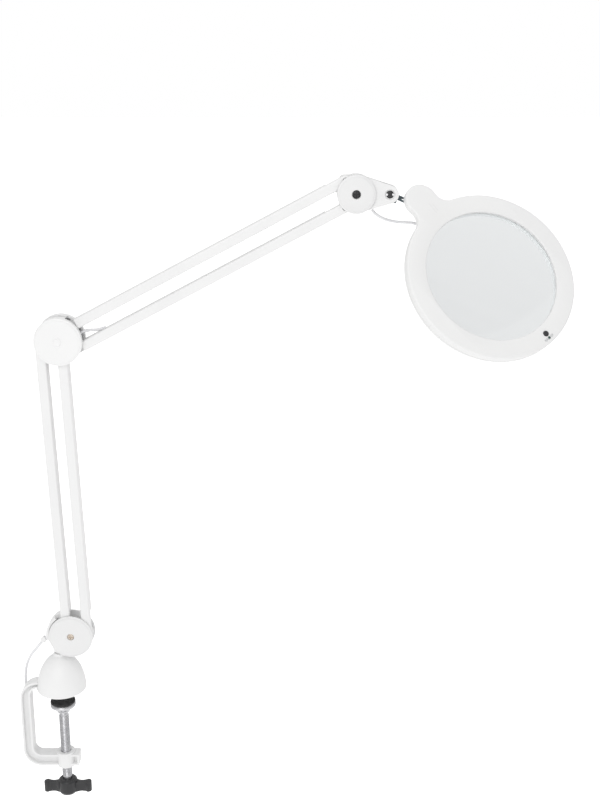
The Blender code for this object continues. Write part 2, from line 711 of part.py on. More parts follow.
def make_nose_fittings(m, nose):
    """The pieces on the nose screw's axis. They stay with the bracket. The link turns between them."""
    screw = screw_head(NOSE_SCREW_RADIUS, -6.4, -5.3)
    combine(screw, cylinder(PIN_RADIUS, -5.6, 10.6, axis="Y"), "UNION")
    piece("nose_screw", screw, m["dark"], nose)
    nut = circle(0, 0, NUT_RADIUS, 6)
    hole = circle(0, 0, PIN_HOLE)
    hexagon = solid(prism([nut, hole], BAR_HALF_DEPTH + GAP, 10.0, "XZ"))
    piece("nose_nut", hexagon, m["dark"], nose)
    for name, side in (("nose_washer_front", -1), ("nose_washer_rear", 1)):
        inner = side * (LINK_EYE_HALF + GAP)
        outer = side * (NOSE_SLOT - GAP)
        ring = [(PIN_HOLE, inner), (WASHER_RADIUS, inner), (WASHER_RADIUS, outer), (PIN_HOLE, outer)]
        piece(name, solid(lathe(ring, 24, closed=True, axis="Y")), m["fibre"], nose)


# ---------------------------------------------------------------- link and swivel


def make_link(m, link):
    """A flat eye with a shoulder under the foot of its shaft."""
    outline = hull_of_circles([(0, 0, LINK_EYE_RADIUS), (7.4, -4.9, 0.7), (7.4, 1.5, 0.7)])
    eye = prism([outline], -LINK_EYE_HALF, LINK_EYE_HALF, "XZ")
    shaft = cylinder(LINK_SHAFT_RADIUS, 5.0, LINK_TO_LOBE + 6.5, 20, axis="X")
    bore = cylinder(PIN_HOLE, -9, 9, axis="Y")
    piece("link_eye", solid(eye, add=[shaft], cut=[bore]), m["dark"], link)


def make_barrel(m, barrel):
    """Drawn like the head: +X along the link, +Z towards the face. The link's axis is the origin."""
    top = LINK_DEPTH - TOP_SHELL_DEPTH - GAP
    section = rounded([(6.0, -5.0, 2), (6.0, top, 1), (-6.0, top, 1), (-6.0, -5.0, 2)], 3)
    block = prism([section], -7.0, 7.5, "YZ")
    bore = cylinder(LINK_SHAFT_RADIUS + GAP, -9, 9, 20, axis="X")
    pin_hole = cylinder(2.5, 1.0, 8.0)
    piece("link_barrel", solid(block, cut=[bore, pin_hole]), m["dark"], barrel)
    piece("swivel_pin", solid(cylinder(2.2, 3.2, LINK_DEPTH - 1.8)), m["steel"], barrel)


# ---------------------------------------------------------------- head


def head_outline(inset):
    """A round head with a small round lobe, blended by two hollow fillets, drawn in by the inset."""
    big = HEAD_RADIUS - inset
    small = LOBE_RADIUS - inset
    hollow = FILLET_RADIUS + inset
    far = big + hollow
    near = small + hollow
    x = (near * near - far * far + LENS_OFFSET * LENS_OFFSET) / (2 * LENS_OFFSET)
    y = math.sqrt(near * near - x * x)
    at_lobe = math.degrees(math.atan2(y, x))
    at_ring = math.degrees(math.atan2(y, x - LENS_OFFSET))
    ring = circle(LENS_OFFSET, 0, big, 46, -at_ring, at_ring)
    lobe = circle(0, 0, small, 16, at_lobe, 360 - at_lobe)
    upper = circle(x, y, hollow, 6, at_ring - 180, at_lobe - 180)[1:-1]
    lower = [(p, -q) for p, q in reversed(upper)]
    return ring + upper + lobe + lower


def head_ring(radius, steps=48):
    return circle(LENS_OFFSET, 0, radius, steps)


def make_top_shell(m, head):
    seat = head_ring(LENS_SEAT + GAP)
    opening = head_ring(APERTURE)
    levels = [
        (-TOP_SHELL_DEPTH, [head_outline(0), seat]),
        (-LENS_LEDGE, [head_outline(0), seat]),
        (-LENS_LEDGE, [head_outline(0), opening]),
        (-1.6, [head_outline(0), opening]),
        (-0.5, [head_outline(0.45), opening]),
        (0.0, [head_outline(1.6), head_ring(APERTURE + 0.5)]),
    ]
    cuts = [
        moved(cylinder(BUTTON_RADIUS + GAP, -9, 2, 24), *BUTTON),
        moved(cylinder(INDICATOR_RADIUS + GAP, -9, 2, 16), *INDICATOR),
        cylinder(2.5, -9, -1.5),
    ]
    for x, y in shell_screw_centres():
        cuts.append(moved(cylinder(1.4, -9, -2.5, 12), x, y))
    piece("head_top_shell", solid(layered(levels), cut=cuts), m["shell"], head)


def shell_screw_centres():
    return [
        (LENS_OFFSET + SCREW_CIRCLE * math.cos(a), SCREW_CIRCLE * math.sin(a))
        for a in (math.radians(60), math.radians(180), math.radians(300))
    ]


def make_bottom_shell(m, head):
    top = -TOP_SHELL_DEPTH - GAP
    low = -HEAD_DEPTH
    rim = HEAD_RADIUS
    outer = [(rim, top), (rim, -8.6), (rim - 0.9, -11.1), (rim - 2.6, -12.7), (rim - 4.4, low)]
    inner = [(rim - 6.5, low), (rim - 6.5, -10.3), (rim - 4.5, -10.3), (rim - 4.5, top)]
    cuts = []
    for x, y in shell_screw_centres():
        stepped = [(0, -15), (1.9, -15), (1.9, -11.5), (1.3, -11.5), (1.3, -5), (0, -5)]
        cuts.append(moved(lathe(stepped, 14), x - LENS_OFFSET, y))
    shell = solid(lathe(outer + inner, 48, closed=True), cut=cuts)
    shell.data.transform(Matrix.Translation((LENS_OFFSET * MM, 0, 0)))
    piece("head_bottom_shell", shell, m["shell"], head)
    for i, (x, y) in enumerate(shell_screw_centres()):
        profile = [(0, -12.9), (1.6, -12.9), (1.6, -11.9), (1.1, -11.9), (1.1, -3.2), (0, -3.2)]
        screw = moved(lathe(profile, 12), x, y)
        piece("shell_screw_" + str(i + 1), solid(screw), m["steel"], head)


def make_ring(name, mat, head, profile, steps=40):
    ring = solid(lathe(profile, steps, closed=True))
    ring.data.transform(Matrix.Translation((LENS_OFFSET * MM, 0, 0)))
    piece(name, ring, mat, head)


def make_lens(m, head):
    rings = 4
    profile = []
    for i in range(rings + 1):
        r = LENS_RADIUS * i / rings
        profile.append((r, LENS_EDGE_BOTTOM - LENS_SAG * (1 - (i / rings) ** 2)))
    for i in range(rings, -1, -1):
        r = LENS_RADIUS * i / rings
        profile.append((r, LENS_EDGE_TOP + LENS_SAG * (1 - (i / rings) ** 2)))
    lens = moved(lathe(profile, 40), x=LENS_OFFSET)
    piece("lens", solid(lens), m["glass"], head)


def make_head_inside(m, head):
    low = -HEAD_DEPTH
    retainer = [(60.5, low), (64.4, low), (64.4, -6.8), (63.6, -6.3), (60.9, -6.8), (60.5, -7.6)]
    make_ring("lens_retainer", m["shell"], head, retainer)
    diffuser = [(64.8, -13.1), (70.7, -13.1), (70.7, -11.9), (64.8, -11.9)]
    make_ring("light_diffuser", m["frost"], head, diffuser)
    board = [(65.0, -9.9), (72.6, -9.9), (72.6, -8.6), (65.0, -8.6)]
    make_ring("led_board", m["board"], head, board)

    x, y = BUTTON
    body = box((x - 3.2, y - 3.2, -8.2), (x + 3.2, y + 3.2, -TOP_SHELL_DEPTH - GAP))
    piece("switch_body", solid(body), m["black"], head)
    light = moved(cylinder(INDICATOR_RADIUS, -6.2, 0.2, 16, chamfer=0.2), *INDICATOR)
    piece("indicator_light", solid(light), m["green"], head)


def make_button(m, button):
    cap = cylinder(BUTTON_RADIUS, -5.0, 1.0, 24, chamfer=0.5)
    piece("switch_button", solid(cap), m["black"], button)


# ---------------------------------------------------------------- cables


def make_cables(m, base, elbow, knuckle):
    """Each visible run of the one cable, drawn in the frame of the piece that it leaves."""
    drop = [(-12.6, 0.0, 55.9), (-14.8, 0.0, 53.4), (-17.6, 0.0, 50.2), (-23.6, 2.0, 42.1)]
    drop += [(-29.9, 5.0, 33.4), (-34.8, 8.2, 23.0), (-37.8, 10.6, 11.0)]
    drop += [(*CABLE_DROP, -6.0), (*CABLE_DROP, -62.0)]
    near = [(x - SWIVEL_OFFSET, y, z - BASE_HEIGHT) for x, y, z in drop]
    piece("cable_base", solid(tube(smooth_path(near), CABLE_RADIUS)), m["cable"], base)
    plug = [(0, -76.0), (3.4, -76.0), (4.0, -75.0), (4.0, -66.0), (2.4, -62.3), (0, -62.3)]
    plug = [(r, z - BASE_HEIGHT) for r, z in plug]
    socket = moved(lathe(plug, 20), x=CABLE_DROP[0] - SWIVEL_OFFSET, y=CABLE_DROP[1])
    piece("cable_connector", solid(socket), m["black"], base)

    bridge = [(16.5, -3.0, 5.0), (21.0, -1.5, 7.6), (27.5, 0.0, 8.8), (34.0, 0.0, 9.3)]
    bridge.append((39.5, 0.0, 11.8))
    piece("cable_elbow", solid(tube(smooth_path(bridge), CABLE_RADIUS)), m["cable"], elbow)

    loop = [(14.4, 4.0, -14.9), (19.0, 4.6, -19.4), (26.0, 6.0, -23.2), (35.5, 8.0, -25.8)]
    loop += [(44.5, 8.8, -26.6), (51.5, 7.2, -27.0), (57.3, 2.4, -28.6)]
    loop += [(60.0, -3.0, -29.6), (60.5, -7.6, -28.0)]
    piece("cable_head", solid(tube(smooth_path(loop), CABLE_RADIUS)), m["cable"], knuckle)


def build():
    clear_scene()
    m = make_materials()
    lower_way = Vector((math.cos(math.radians(LOWER_RISE)), 0, math.sin(math.radians(LOWER_RISE))))
    upper_way = Vector((math.cos(math.radians(UPPER_RISE)), 0, math.sin(math.radians(UPPER_RISE))))
    link_way = Vector((math.cos(math.radians(LINK_SLOPE)), 0, math.sin(math.radians(LINK_SLOPE))))

    base_centre = Vector((SWIVEL_OFFSET, 0, BASE_HEIGHT))
    lower_foot = base_centre + AXIS_X * BASE_PIVOT_SHIFT
    lower_top = lower_foot + lower_way * LOWER_LENGTH
    elbow_centre = lower_top - AXIS_X * ELBOW_LOWER_SHIFT
    upper_foot = elbow_centre + AXIS_X * ELBOW_UPPER_SHIFT
    upper_top = upper_foot + upper_way * UPPER_LENGTH
    head_centre = upper_top - AXIS_X * HEAD_PIVOT_SHIFT
    nose_centre = head_centre + Vector((NOSE_X, 0, NOSE_Z))
    barrel_centre = nose_centre + link_way * LINK_TO_LOBE
    lobe_centre = barrel_centre + HEAD_NORMAL * LINK_DEPTH

    base = frame("base_frame", (0, 0, 0))
    make_clamp(m, base)
    make_base_cover(m, base)
    make_clamp_screw(m)

    turret = frame("turret_frame", base_centre)
    make_base_knuckle(m, turret)

    half = AXIS_X * (LOWER_PITCH / 2)
    base_lug = (LUG_REACH_BASE, -1)
    for side, sign, reach in (("left", -1, LUG_REACH_ELBOW_LEFT), ("right", 1, LUG_REACH_ELBOW_RIGHT)):
        bar = frame("lower_" + side + "_frame", lower_foot + half * sign, lower_way)
        make_bar("lower_bar_" + side, m["paint"], bar, LOWER_LENGTH, base_lug, (reach, -1))
        make_spring("lower_spring_" + side, m["steel"], bar, LOWER_SPRING_START)

    elbow = frame("elbow_frame", elbow_centre)
    make_elbow(m, elbow)

    half = AXIS_Z * (UPPER_PITCH / 2)
    head_lug = (LUG_REACH_HEAD, -1)
    for side, sign, reach in (("top", 1, LUG_REACH_UPPER_TOP), ("bottom", -1, LUG_REACH_UPPER_BOTTOM)):
        bar = frame("upper_" + side + "_frame", upper_foot + half * sign, upper_way)
        make_bar("upper_bar_" + side, m["paint"], bar, UPPER_LENGTH, (reach, 1), head_lug)
        make_spring("upper_spring_" + side, m["steel"], bar, UPPER_SPRING_START)

    knuckle = frame("head_knuckle_frame", head_centre)
    make_head_knuckle(m, knuckle)
    make_nose_fittings(m, frame("nose_frame", nose_centre))
    make_link(m, frame("link_frame", nose_centre, link_way))

    across = HEAD_NORMAL.cross(link_way)
    make_barrel(m, frame("barrel_frame", barrel_centre, link_way, across))

    forward = HEAD_FORWARD - HEAD_NORMAL * HEAD_FORWARD.dot(HEAD_NORMAL)
    forward.normalize()
    sideways = HEAD_NORMAL.cross(forward)
    head = frame("head_frame", lobe_centre, forward, sideways)
    make_top_shell(m, head)
    make_bottom_shell(m, head)
    make_lens(m, head)
    make_head_inside(m, head)
    spot = lobe_centre + forward * BUTTON[0] + sideways * BUTTON[1]
    make_button(m, frame("button_frame", spot, forward, sideways))

    make_cables(m, turret, elbow, knuckle)


build()
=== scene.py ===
"""Looks of the clamp-mounted magnifying lamp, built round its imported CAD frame.

Each piece is drawn in millimetres in the frame of the body it rides on.
The CAD's joints and boxes say where those frames are.
"""

import json
import math

import bmesh
import bpy
from mathutils import Matrix, Vector
from mathutils.geometry import tessellate_polygon


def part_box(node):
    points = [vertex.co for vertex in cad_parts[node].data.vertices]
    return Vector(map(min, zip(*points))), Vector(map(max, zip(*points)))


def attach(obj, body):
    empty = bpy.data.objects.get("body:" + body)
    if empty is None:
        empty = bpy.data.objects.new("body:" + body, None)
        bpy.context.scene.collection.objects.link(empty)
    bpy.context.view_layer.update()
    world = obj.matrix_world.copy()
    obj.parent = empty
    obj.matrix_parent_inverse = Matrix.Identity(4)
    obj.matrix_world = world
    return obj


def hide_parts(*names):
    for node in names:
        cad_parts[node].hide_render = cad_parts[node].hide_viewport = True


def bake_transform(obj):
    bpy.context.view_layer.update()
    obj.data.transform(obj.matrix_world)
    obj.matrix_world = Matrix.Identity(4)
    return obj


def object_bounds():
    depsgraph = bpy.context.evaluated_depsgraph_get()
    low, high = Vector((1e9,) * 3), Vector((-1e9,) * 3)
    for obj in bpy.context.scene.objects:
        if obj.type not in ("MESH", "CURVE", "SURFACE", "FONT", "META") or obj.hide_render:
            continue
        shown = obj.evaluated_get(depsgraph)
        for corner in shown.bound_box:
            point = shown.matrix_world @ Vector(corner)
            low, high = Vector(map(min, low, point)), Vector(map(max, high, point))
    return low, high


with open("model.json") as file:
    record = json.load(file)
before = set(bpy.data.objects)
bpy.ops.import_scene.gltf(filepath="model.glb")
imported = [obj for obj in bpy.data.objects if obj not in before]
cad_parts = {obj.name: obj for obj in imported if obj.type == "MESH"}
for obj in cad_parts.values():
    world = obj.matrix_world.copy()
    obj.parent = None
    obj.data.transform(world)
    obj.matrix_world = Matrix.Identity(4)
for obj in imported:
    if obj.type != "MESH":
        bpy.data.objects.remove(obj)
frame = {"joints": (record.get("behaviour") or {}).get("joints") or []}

cad_low, cad_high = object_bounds()

MM = 0.001
AXIS_X = Vector((1, 0, 0))
AXIS_Y = Vector((0, 1, 0))
AXIS_Z = Vector((0, 0, 1))


# ---------------------------------------------------------------- places, from the CAD

joints = {joint["name"]: joint for joint in frame["joints"]}


def joint_place(name):
    return Vector(joints[name]["pos_m"])


def joint_axis(name):
    return Vector(joints[name]["axis"]).normalized()


def middle(node):
    low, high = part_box(node)
    return (Vector(low) + Vector(high)) / 2


def height_span(node):
    """The lowest and the highest point of a CAD node, in millimetres."""
    low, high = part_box(node)
    return low[2] / MM, high[2] / MM


def place(origin, x_axis=AXIS_X, y_axis=AXIS_Y):
    """A 4x4 that takes a body's own axes to the row frame."""
    z_axis = x_axis.cross(y_axis)
    matrix = Matrix((x_axis, y_axis, z_axis)).transposed().to_4x4()
    matrix.translation = Vector(origin)
    return matrix


def flat(v):
    """The point moved into the middle plane of the arms."""
    return Vector((v.x, 0, v.z))


base_centre = flat(middle("base_disc_front"))
elbow_centre = flat(middle("elbow_disc_front"))
head_centre = flat(middle("head_disc_front"))
nose_centre = joint_place("head_tilt")
link_way = joint_axis("head_roll")
barrel_centre = joint_place("head_roll")
normal = joint_axis("head_swivel")
lobe_centre = joint_place("head_swivel")
lens_centre = middle("lens")
forward = lens_centre - lobe_centre
forward = (forward - normal * forward.dot(normal)).normalized()
sideways = normal.cross(forward)
LENS_OFFSET = (lens_centre - lobe_centre).dot(forward) / MM

bar_starts = {
    "lower_left": (joint_place("lower_arm"), joint_place("elbow_level")),
    "upper_bottom": (joint_place("upper_arm"), joint_place("head_level")),
}
lower_run = bar_starts["lower_left"][1] - bar_starts["lower_left"][0]
upper_run = bar_starts["upper_bottom"][1] - bar_starts["upper_bottom"][0]
second_lower = joint_place("lower_arm_second_bar")
second_upper = joint_place("upper_arm_second_bar")
bar_starts["lower_right"] = (second_lower, second_lower + lower_run)
bar_starts["upper_top"] = (second_upper, second_upper + upper_run)
LOWER_LENGTH = lower_run.length / MM
UPPER_LENGTH = upper_run.length / MM

AT_BASE = place((0, 0, 0))
AT_TURRET = place(base_centre)
AT_ELBOW = place(elbow_centre)
AT_HEAD_KNUCKLE = place(head_centre)
AT_NOSE = place(nose_centre)
AT_LINK = place(nose_centre, link_way)
AT_BARREL = place(barrel_centre, link_way, normal.cross(link_way))
AT_HEAD = place(lobe_centre, forward, sideways)

BODY_PLACES = {
    "clamp": AT_BASE,
    "clamp_screw": AT_BASE,
    "clamp_foot": AT_BASE,
    "turret": AT_TURRET,
    "elbow": AT_ELBOW,
    "head_knuckle": AT_HEAD_KNUCKLE,
    "link": AT_LINK,
    "link_block": AT_BARREL,
    "head": AT_HEAD,
    "button": AT_HEAD,
}

SWIVEL = base_centre.x / MM
BASE_HEIGHT = base_centre.z / MM
LOWER_PIVOTS = [
    (second_lower - base_centre).x / MM,
    (joint_place("lower_arm") - base_centre).x / MM,
]
ELBOW_LOWER = [
    (bar_starts["lower_left"][1] - elbow_centre).x / MM,
    (bar_starts["lower_right"][1] - elbow_centre).x / MM,
]
ELBOW_UPPER_X = (second_upper - elbow_centre).x / MM
ELBOW_UPPER_Z = (second_upper - elbow_centre).z / MM
HEAD_PIVOT_X = (joint_place("head_level") - head_centre).x / MM
NOSE = ((nose_centre - head_centre).x / MM, (nose_centre - head_centre).z / MM)


# ---------------------------------------------------------------- materials


def new_material(name):
    made = bpy.data.materials.new(name)
    made.use_nodes = True
    return made, made.node_tree.nodes, made.node_tree.links


def set_inputs(node, values):
    for name, value in values.items():
        node.inputs[name].default_value = value


def noise(nodes, links, coords, scale, detail=3.0, stretch=None):
    """A noise texture in metres of the object's own space."""
    source = coords.outputs["Object"]
    if stretch:
        mapping = nodes.new("ShaderNodeMapping")
        mapping.inputs["Scale"].default_value = stretch
        links.new(source, mapping.inputs["Vector"])
        source = mapping.outputs["Vector"]
    texture = nodes.new("ShaderNodeTexNoise")
    set_inputs(texture, {"Scale": scale, "Detail": detail})
    links.new(source, texture.inputs["Vector"])
    return texture


def ramp(nodes, links, value, low, high, low_at=0.3, high_at=0.7):
    made = nodes.new("ShaderNodeMapRange")
    set_inputs(made, {"From Min": low_at, "From Max": high_at, "To Min": low, "To Max": high})
    links.new(value, made.inputs["Value"])
    return made.outputs["Result"]


def mix_color(nodes, links, factor, first, second):
    made = nodes.new("ShaderNodeMix")
    made.data_type = "RGBA"
    for socket, value in ((made.inputs[6], first), (made.inputs[7], second)):
        if isinstance(value, tuple):
            socket.default_value = (*value, 1)
        else:
            links.new(value, socket)
    links.new(factor, made.inputs[0])
    return made.outputs[2]


ROUGH_SPREAD = 0.08  # how far a surface's roughness strays to each side


def surface(
    name,
    color,
    shade,
    rough,
    metallic=0.0,
    patch=30.0,
    grain=900.0,
    bump=0.06,
    stretch=None,
    edge=None,
    coat=0.0,
    sheen=0.0,
    subsurface=0.0,
    # painted light: emission for parts that glow though they are no lamp
    painted_glow=0.0,
):
    """A surface with patches of a second shade, uneven roughness and a fine grain.

    edge: the colour of sharp edges, lighter partly as real wear and partly as painted highlight, if
    it has any. patch, grain: noise scales per metre.
    """
    made, nodes, links = new_material(name)
    shader = nodes["Principled BSDF"]
    coords = nodes.new("ShaderNodeTexCoord")
    broad = noise(nodes, links, coords, patch, 4.0)
    fine = noise(nodes, links, coords, grain, 2.0, stretch)
    amount = ramp(nodes, links, broad.outputs["Fac"], 0.0, 1.0)
    base = mix_color(nodes, links, amount, color, shade)
    # Lighter sharp edges: partly real wear, partly painted highlight.
    if edge:
        geometry = nodes.new("ShaderNodeNewGeometry")
        pointed = geometry.outputs["Pointiness"]
        worn_and_highlit_edges = ramp(nodes, links, pointed, 0.0, 1.0, 0.54, 0.59)
        wear_and_highlight_mask = nodes.new("ShaderNodeMath")
        wear_and_highlight_mask.operation = "MULTIPLY"
        links.new(worn_and_highlit_edges, wear_and_highlight_mask.inputs[0])
        chips = noise(nodes, links, coords, patch * 8, 5.0)
        links.new(ramp(nodes, links, chips.outputs["Fac"], 0.0, 1.0, 0.5, 0.62), wear_and_highlight_mask.inputs[1])
        base = mix_color(nodes, links, wear_and_highlight_mask.outputs[0], base, edge)
    links.new(base, shader.inputs["Base Color"])
    uneven = noise(nodes, links, coords, patch * 5, 3.0)
    low = max(0.02, rough - ROUGH_SPREAD)
    spread = ramp(nodes, links, uneven.outputs["Fac"], low, rough + ROUGH_SPREAD)
    links.new(spread, shader.inputs["Roughness"])
    values = {
        "Metallic": metallic,
        "Coat Weight": coat,
        "Coat Roughness": 0.25,
        "Sheen Weight": sheen,
        "Subsurface Weight": subsurface,
        "Subsurface Scale": 0.002,
        "Emission Color": (1, 1, 1, 1),
        "Emission Strength": painted_glow,
    }
    set_inputs(shader, values)
    relief = nodes.new("ShaderNodeBump")
    set_inputs(relief, {"Strength": bump, "Distance": 0.0002})
    links.new(fine.outputs["Fac"], relief.inputs["Height"])
    links.new(relief.outputs["Normal"], shader.inputs["Normal"])
    return made


def clear_glass(name, tint):
    """Glass that lets light through to what it shades, with faint dust that dulls it in places."""
    made, nodes, links = new_material(name)
    shader = nodes["Principled BSDF"]
    output = nodes["Material Output"]
    set_inputs(shader, {"Base Color": (*tint, 1), "Transmission Weight": 1.0, "IOR": 1.5})
    coords = nodes.new("ShaderNodeTexCoord")
    dust = noise(nodes, links, coords, 60.0, 6.0)
    dull = ramp(nodes, links, dust.outputs["Fac"], 0.0, 0.03, 0.45, 0.8)
    links.new(dull, shader.inputs["Roughness"])
    through = nodes.new("ShaderNodeBsdfTransparent")
    through.inputs["Color"].default_value = (0.93, 0.94, 0.94, 1)
    path = nodes.new("ShaderNodeLightPath")
    choice = nodes.new("ShaderNodeMixShader")
    links.new(path.outputs["Is Shadow Ray"], choice.inputs["Fac"])
    links.new(shader.outputs[0], choice.inputs[1])
    links.new(through.outputs[0], choice.inputs[2])
    links.new(choice.outputs[0], output.inputs["Surface"])
    return made




def grey(level):
    return (level, level, level)


paint = surface(
    "powder_coat", (0.83, 0.83, 0.828), grey(0.80), 0.36,
    patch=22, grain=1400, bump=0.10, coat=0.15,
)
plastic = surface(
    "moulded_white", (0.85, 0.85, 0.848), grey(0.825), 0.42,
    patch=28, grain=2600, bump=0.07,
)
# A darker copy of the white moulding, painted shade for the base and head covers, which sit in less
# light than the elbow's covers.
shaded_cover_plastic = surface(
    "moulded_cover", grey(0.795), grey(0.77), 0.42,
    patch=28, grain=2600, bump=0.07,
)
shell = surface(
    "head_satin", (0.825, 0.825, 0.82), grey(0.80), 0.4,
    patch=16, grain=3000, bump=0.06,
)
cable = surface(
    "cable_sheath", (0.8, 0.8, 0.81), (0.74, 0.74, 0.76), 0.5,
    patch=60, grain=1200, bump=0.12,
)
steel = surface(
    "bright_steel", (0.62, 0.62, 0.63), (0.5, 0.5, 0.52), 0.28, 1.0,
    patch=120, grain=600, bump=0.08, stretch=(1, 12, 1),
)
# Its lighter sharp edges are partly wear and partly painted highlight.
dark = surface(
    "dark_steel", (0.10, 0.125, 0.14), (0.05, 0.065, 0.075), 0.36, 0.85,
    patch=150, grain=800, bump=0.12, edge=(0.4, 0.42, 0.43),
)
galvanised = surface(
    "galvanised_sheet", (0.74, 0.75, 0.76), (0.6, 0.61, 0.63), 0.4, 0.3,
    patch=90, grain=500, bump=0.1,
)
# A bright material used only for the painted highlights on the nose screw.
painted_highlight_look = surface(
    "polished_steel", (0.92, 0.92, 0.93), (0.82, 0.82, 0.84), 0.3, 0.5,
    patch=200, grain=900, bump=0.05,
)
# Darker than the shell: painted shade for the low ridges on the lobe.
ridge_painted_shade = surface(
    "shallow_ridge", grey(0.76), grey(0.72), 0.5,
    patch=60, grain=2000, bump=0.05,
)
zinc = surface(
    "yellow_zinc", (0.74, 0.66, 0.57), (0.58, 0.49, 0.41), 0.42, 0.5,
    patch=260, grain=900, bump=0.15,
)
rubber = surface(
    "black_rubber", (0.025, 0.025, 0.026), grey(0.04), 0.8,
    patch=80, grain=1500, bump=0.3, sheen=0.1,
)
black = surface(
    "black_plastic", (0.02, 0.02, 0.022), (0.03, 0.03, 0.032), 0.38,
    patch=90, grain=2200, bump=0.15,
)
fibre = surface(
    "grey_fibre", (0.22, 0.21, 0.19), (0.12, 0.11, 0.10), 0.85,
    patch=700, grain=2500, bump=0.4,
)
mask = surface(
    "white_solder_mask", (0.82, 0.84, 0.82), (0.76, 0.79, 0.77), 0.45,
    patch=90, grain=1500, bump=0.05,
)
phosphor = surface(
    "phosphor_yellow", (0.86, 0.74, 0.28), (0.8, 0.66, 0.2), 0.35,
    patch=900, grain=2500, bump=0.05,
)
# The diffuser ring glows as painted light: the lamp is off, and the glow brightens its shaded inner
# wall.
frost_painted_glow = surface(
    "frosted_ring", (0.86, 0.87, 0.86), (0.82, 0.83, 0.82), 0.55,
    patch=40, grain=2600, bump=0.25, subsurface=0.3, painted_glow=0.3,
)
# The seat's faint glow is painted light that brightens the shaded edge round the lens.
seat = surface(
    "lens_seat", (0.85, 0.86, 0.86), (0.82, 0.83, 0.83), 0.5,
    patch=40, grain=2600, bump=0.05, painted_glow=0.14,
)
green = surface(
    "indicator_tint", (0.05, 0.10, 0.08), (0.03, 0.07, 0.06), 0.2,
    patch=300, grain=1500, bump=0.02,
)
mark = surface(
    "grey_mark", (0.42, 0.43, 0.44), (0.36, 0.37, 0.38), 0.6,
    patch=400, grain=2500, bump=0.05,
)
glass = clear_glass("lens_glass", (0.84, 0.855, 0.86))


# ---------------------------------------------------------------- shapes in millimetres


def circle(x, y, radius, steps=48, start=0.0, end=360.0):
    whole = abs(end - start) >= 360.0
    count = steps if whole else steps + 1
    angles = [math.radians(start + (end - start) * i / steps) for i in range(count)]
    return [(x + radius * math.cos(a), y + radius * math.sin(a)) for a in angles]


def hull(points):
    ordered = sorted(set((round(x, 5), round(y, 5)) for x, y in points))

    def half(sequence):
        out = []
        for p in sequence:
            while len(out) > 1:
                ax, ay = out[-2]
                bx, by = out[-1]
                if (bx - ax) * (p[1] - ay) - (by - ay) * (p[0] - ax) > 0:
                    break
                out.pop()
            out.append(p)
        return out

    lower = half(ordered)
    upper = half(reversed(ordered))
    return lower[:-1] + upper[:-1]


def hull_of_circles(circles, steps=64):
    return hull([p for x, y, radius in circles for p in circle(x, y, radius, steps)])


def keep_right_of(outline, limit):
    out = []
    for i, (x1, y1) in enumerate(outline):
        x0, y0 = outline[i - 1]
        if (x0 - limit) * (x1 - limit) < 0:
            share = (limit - x0) / (x1 - x0)
            out.append((limit, y0 + share * (y1 - y0)))
        if x1 >= limit:
            out.append((x1, y1))
    return out


def rounded(corners, steps=8):
    """A polygon whose corners (x, y, radius) are rounded."""
    out = []
    for i, (x, y, radius) in enumerate(corners):
        here = Vector((x, y))
        before = (Vector(corners[i - 1][:2]) - here).normalized()
        after = (Vector(corners[(i + 1) % len(corners)][:2]) - here).normalized()
        half = before.angle(after) / 2
        centre = here + (before + after).normalized() * (radius / math.sin(half))
        first = here + before * (radius / math.tan(half)) - centre
        last = here + after * (radius / math.tan(half)) - centre
        turn = first.angle_signed(last)
        for k in range(steps + 1):
            spoke = Matrix.Rotation(-turn * k / steps, 2) @ first
            out.append(tuple(centre + spoke))
    return out


def layered(levels, plane="XY"):
    """A solid from stacked outlines: (height, [outer loop, hole loop, ...]).

    Every level has the same number of points in each loop.
    """
    spots = {
        "XY": lambda a, b, c: (a, b, c),
        "XZ": lambda a, b, c: (a, c, b),
        "YZ": lambda a, b, c: (c, a, b),
    }[plane]
    counts = [len(loop) for loop in levels[0][1]]
    size = sum(counts)
    points = [spots(x, y, h) for h, loops in levels for loop in loops for x, y in loop]
    faces = []
    for shift, loops in ((0, levels[0][1]), (size * (len(levels) - 1), levels[-1][1])):
        if len(loops) == 1:
            faces.append(tuple(i + shift for i in range(size)))
            continue
        outline = [[Vector((x, y, 0)) for x, y in loop] for loop in loops]
        faces += [tuple(i + shift for i in face) for face in tessellate_polygon(outline)]
    for level in range(len(levels) - 1):
        first = level * size
        for count in counts:
            for i in range(count):
                a = first + i
                b = first + (i + 1) % count
                faces.append((a, b, b + size, a + size))
            first += count
    return points, faces


def prism(loops, low, high, plane="XY"):
    return layered([(low, loops), (high, loops)], plane)


def box(low, high):
    (x0, y0, z0), (x1, y1, z1) = low, high
    return prism([[(x0, y0), (x1, y0), (x1, y1), (x0, y1)]], z0, z1)


def lathe(profile, steps=96, closed=False, axis="Z"):
    points = []
    rings = []
    for radius, height in profile:
        if radius == 0:
            rings.append([len(points)])
            points.append((0.0, 0.0, height))
            continue
        rings.append([len(points) + i for i in range(steps)])
        points += [(x, y, height) for x, y in circle(0, 0, radius, steps)]
    faces = []
    pairs = list(zip(rings, rings[1:]))
    if closed:
        pairs.append((rings[-1], rings[0]))
    for low, high in pairs:
        for i in range(steps):
            k = (i + 1) % steps
            if len(low) == 1:
                faces.append((low[0], high[k], high[i]))
            elif len(high) == 1:
                faces.append((low[i], low[k], high[0]))
            else:
                faces.append((low[i], low[k], high[k], high[i]))
    if axis == "Y":
        points = [(x, z, -y) for x, y, z in points]
    if axis == "X":
        points = [(z, y, -x) for x, y, z in points]
    return points, faces


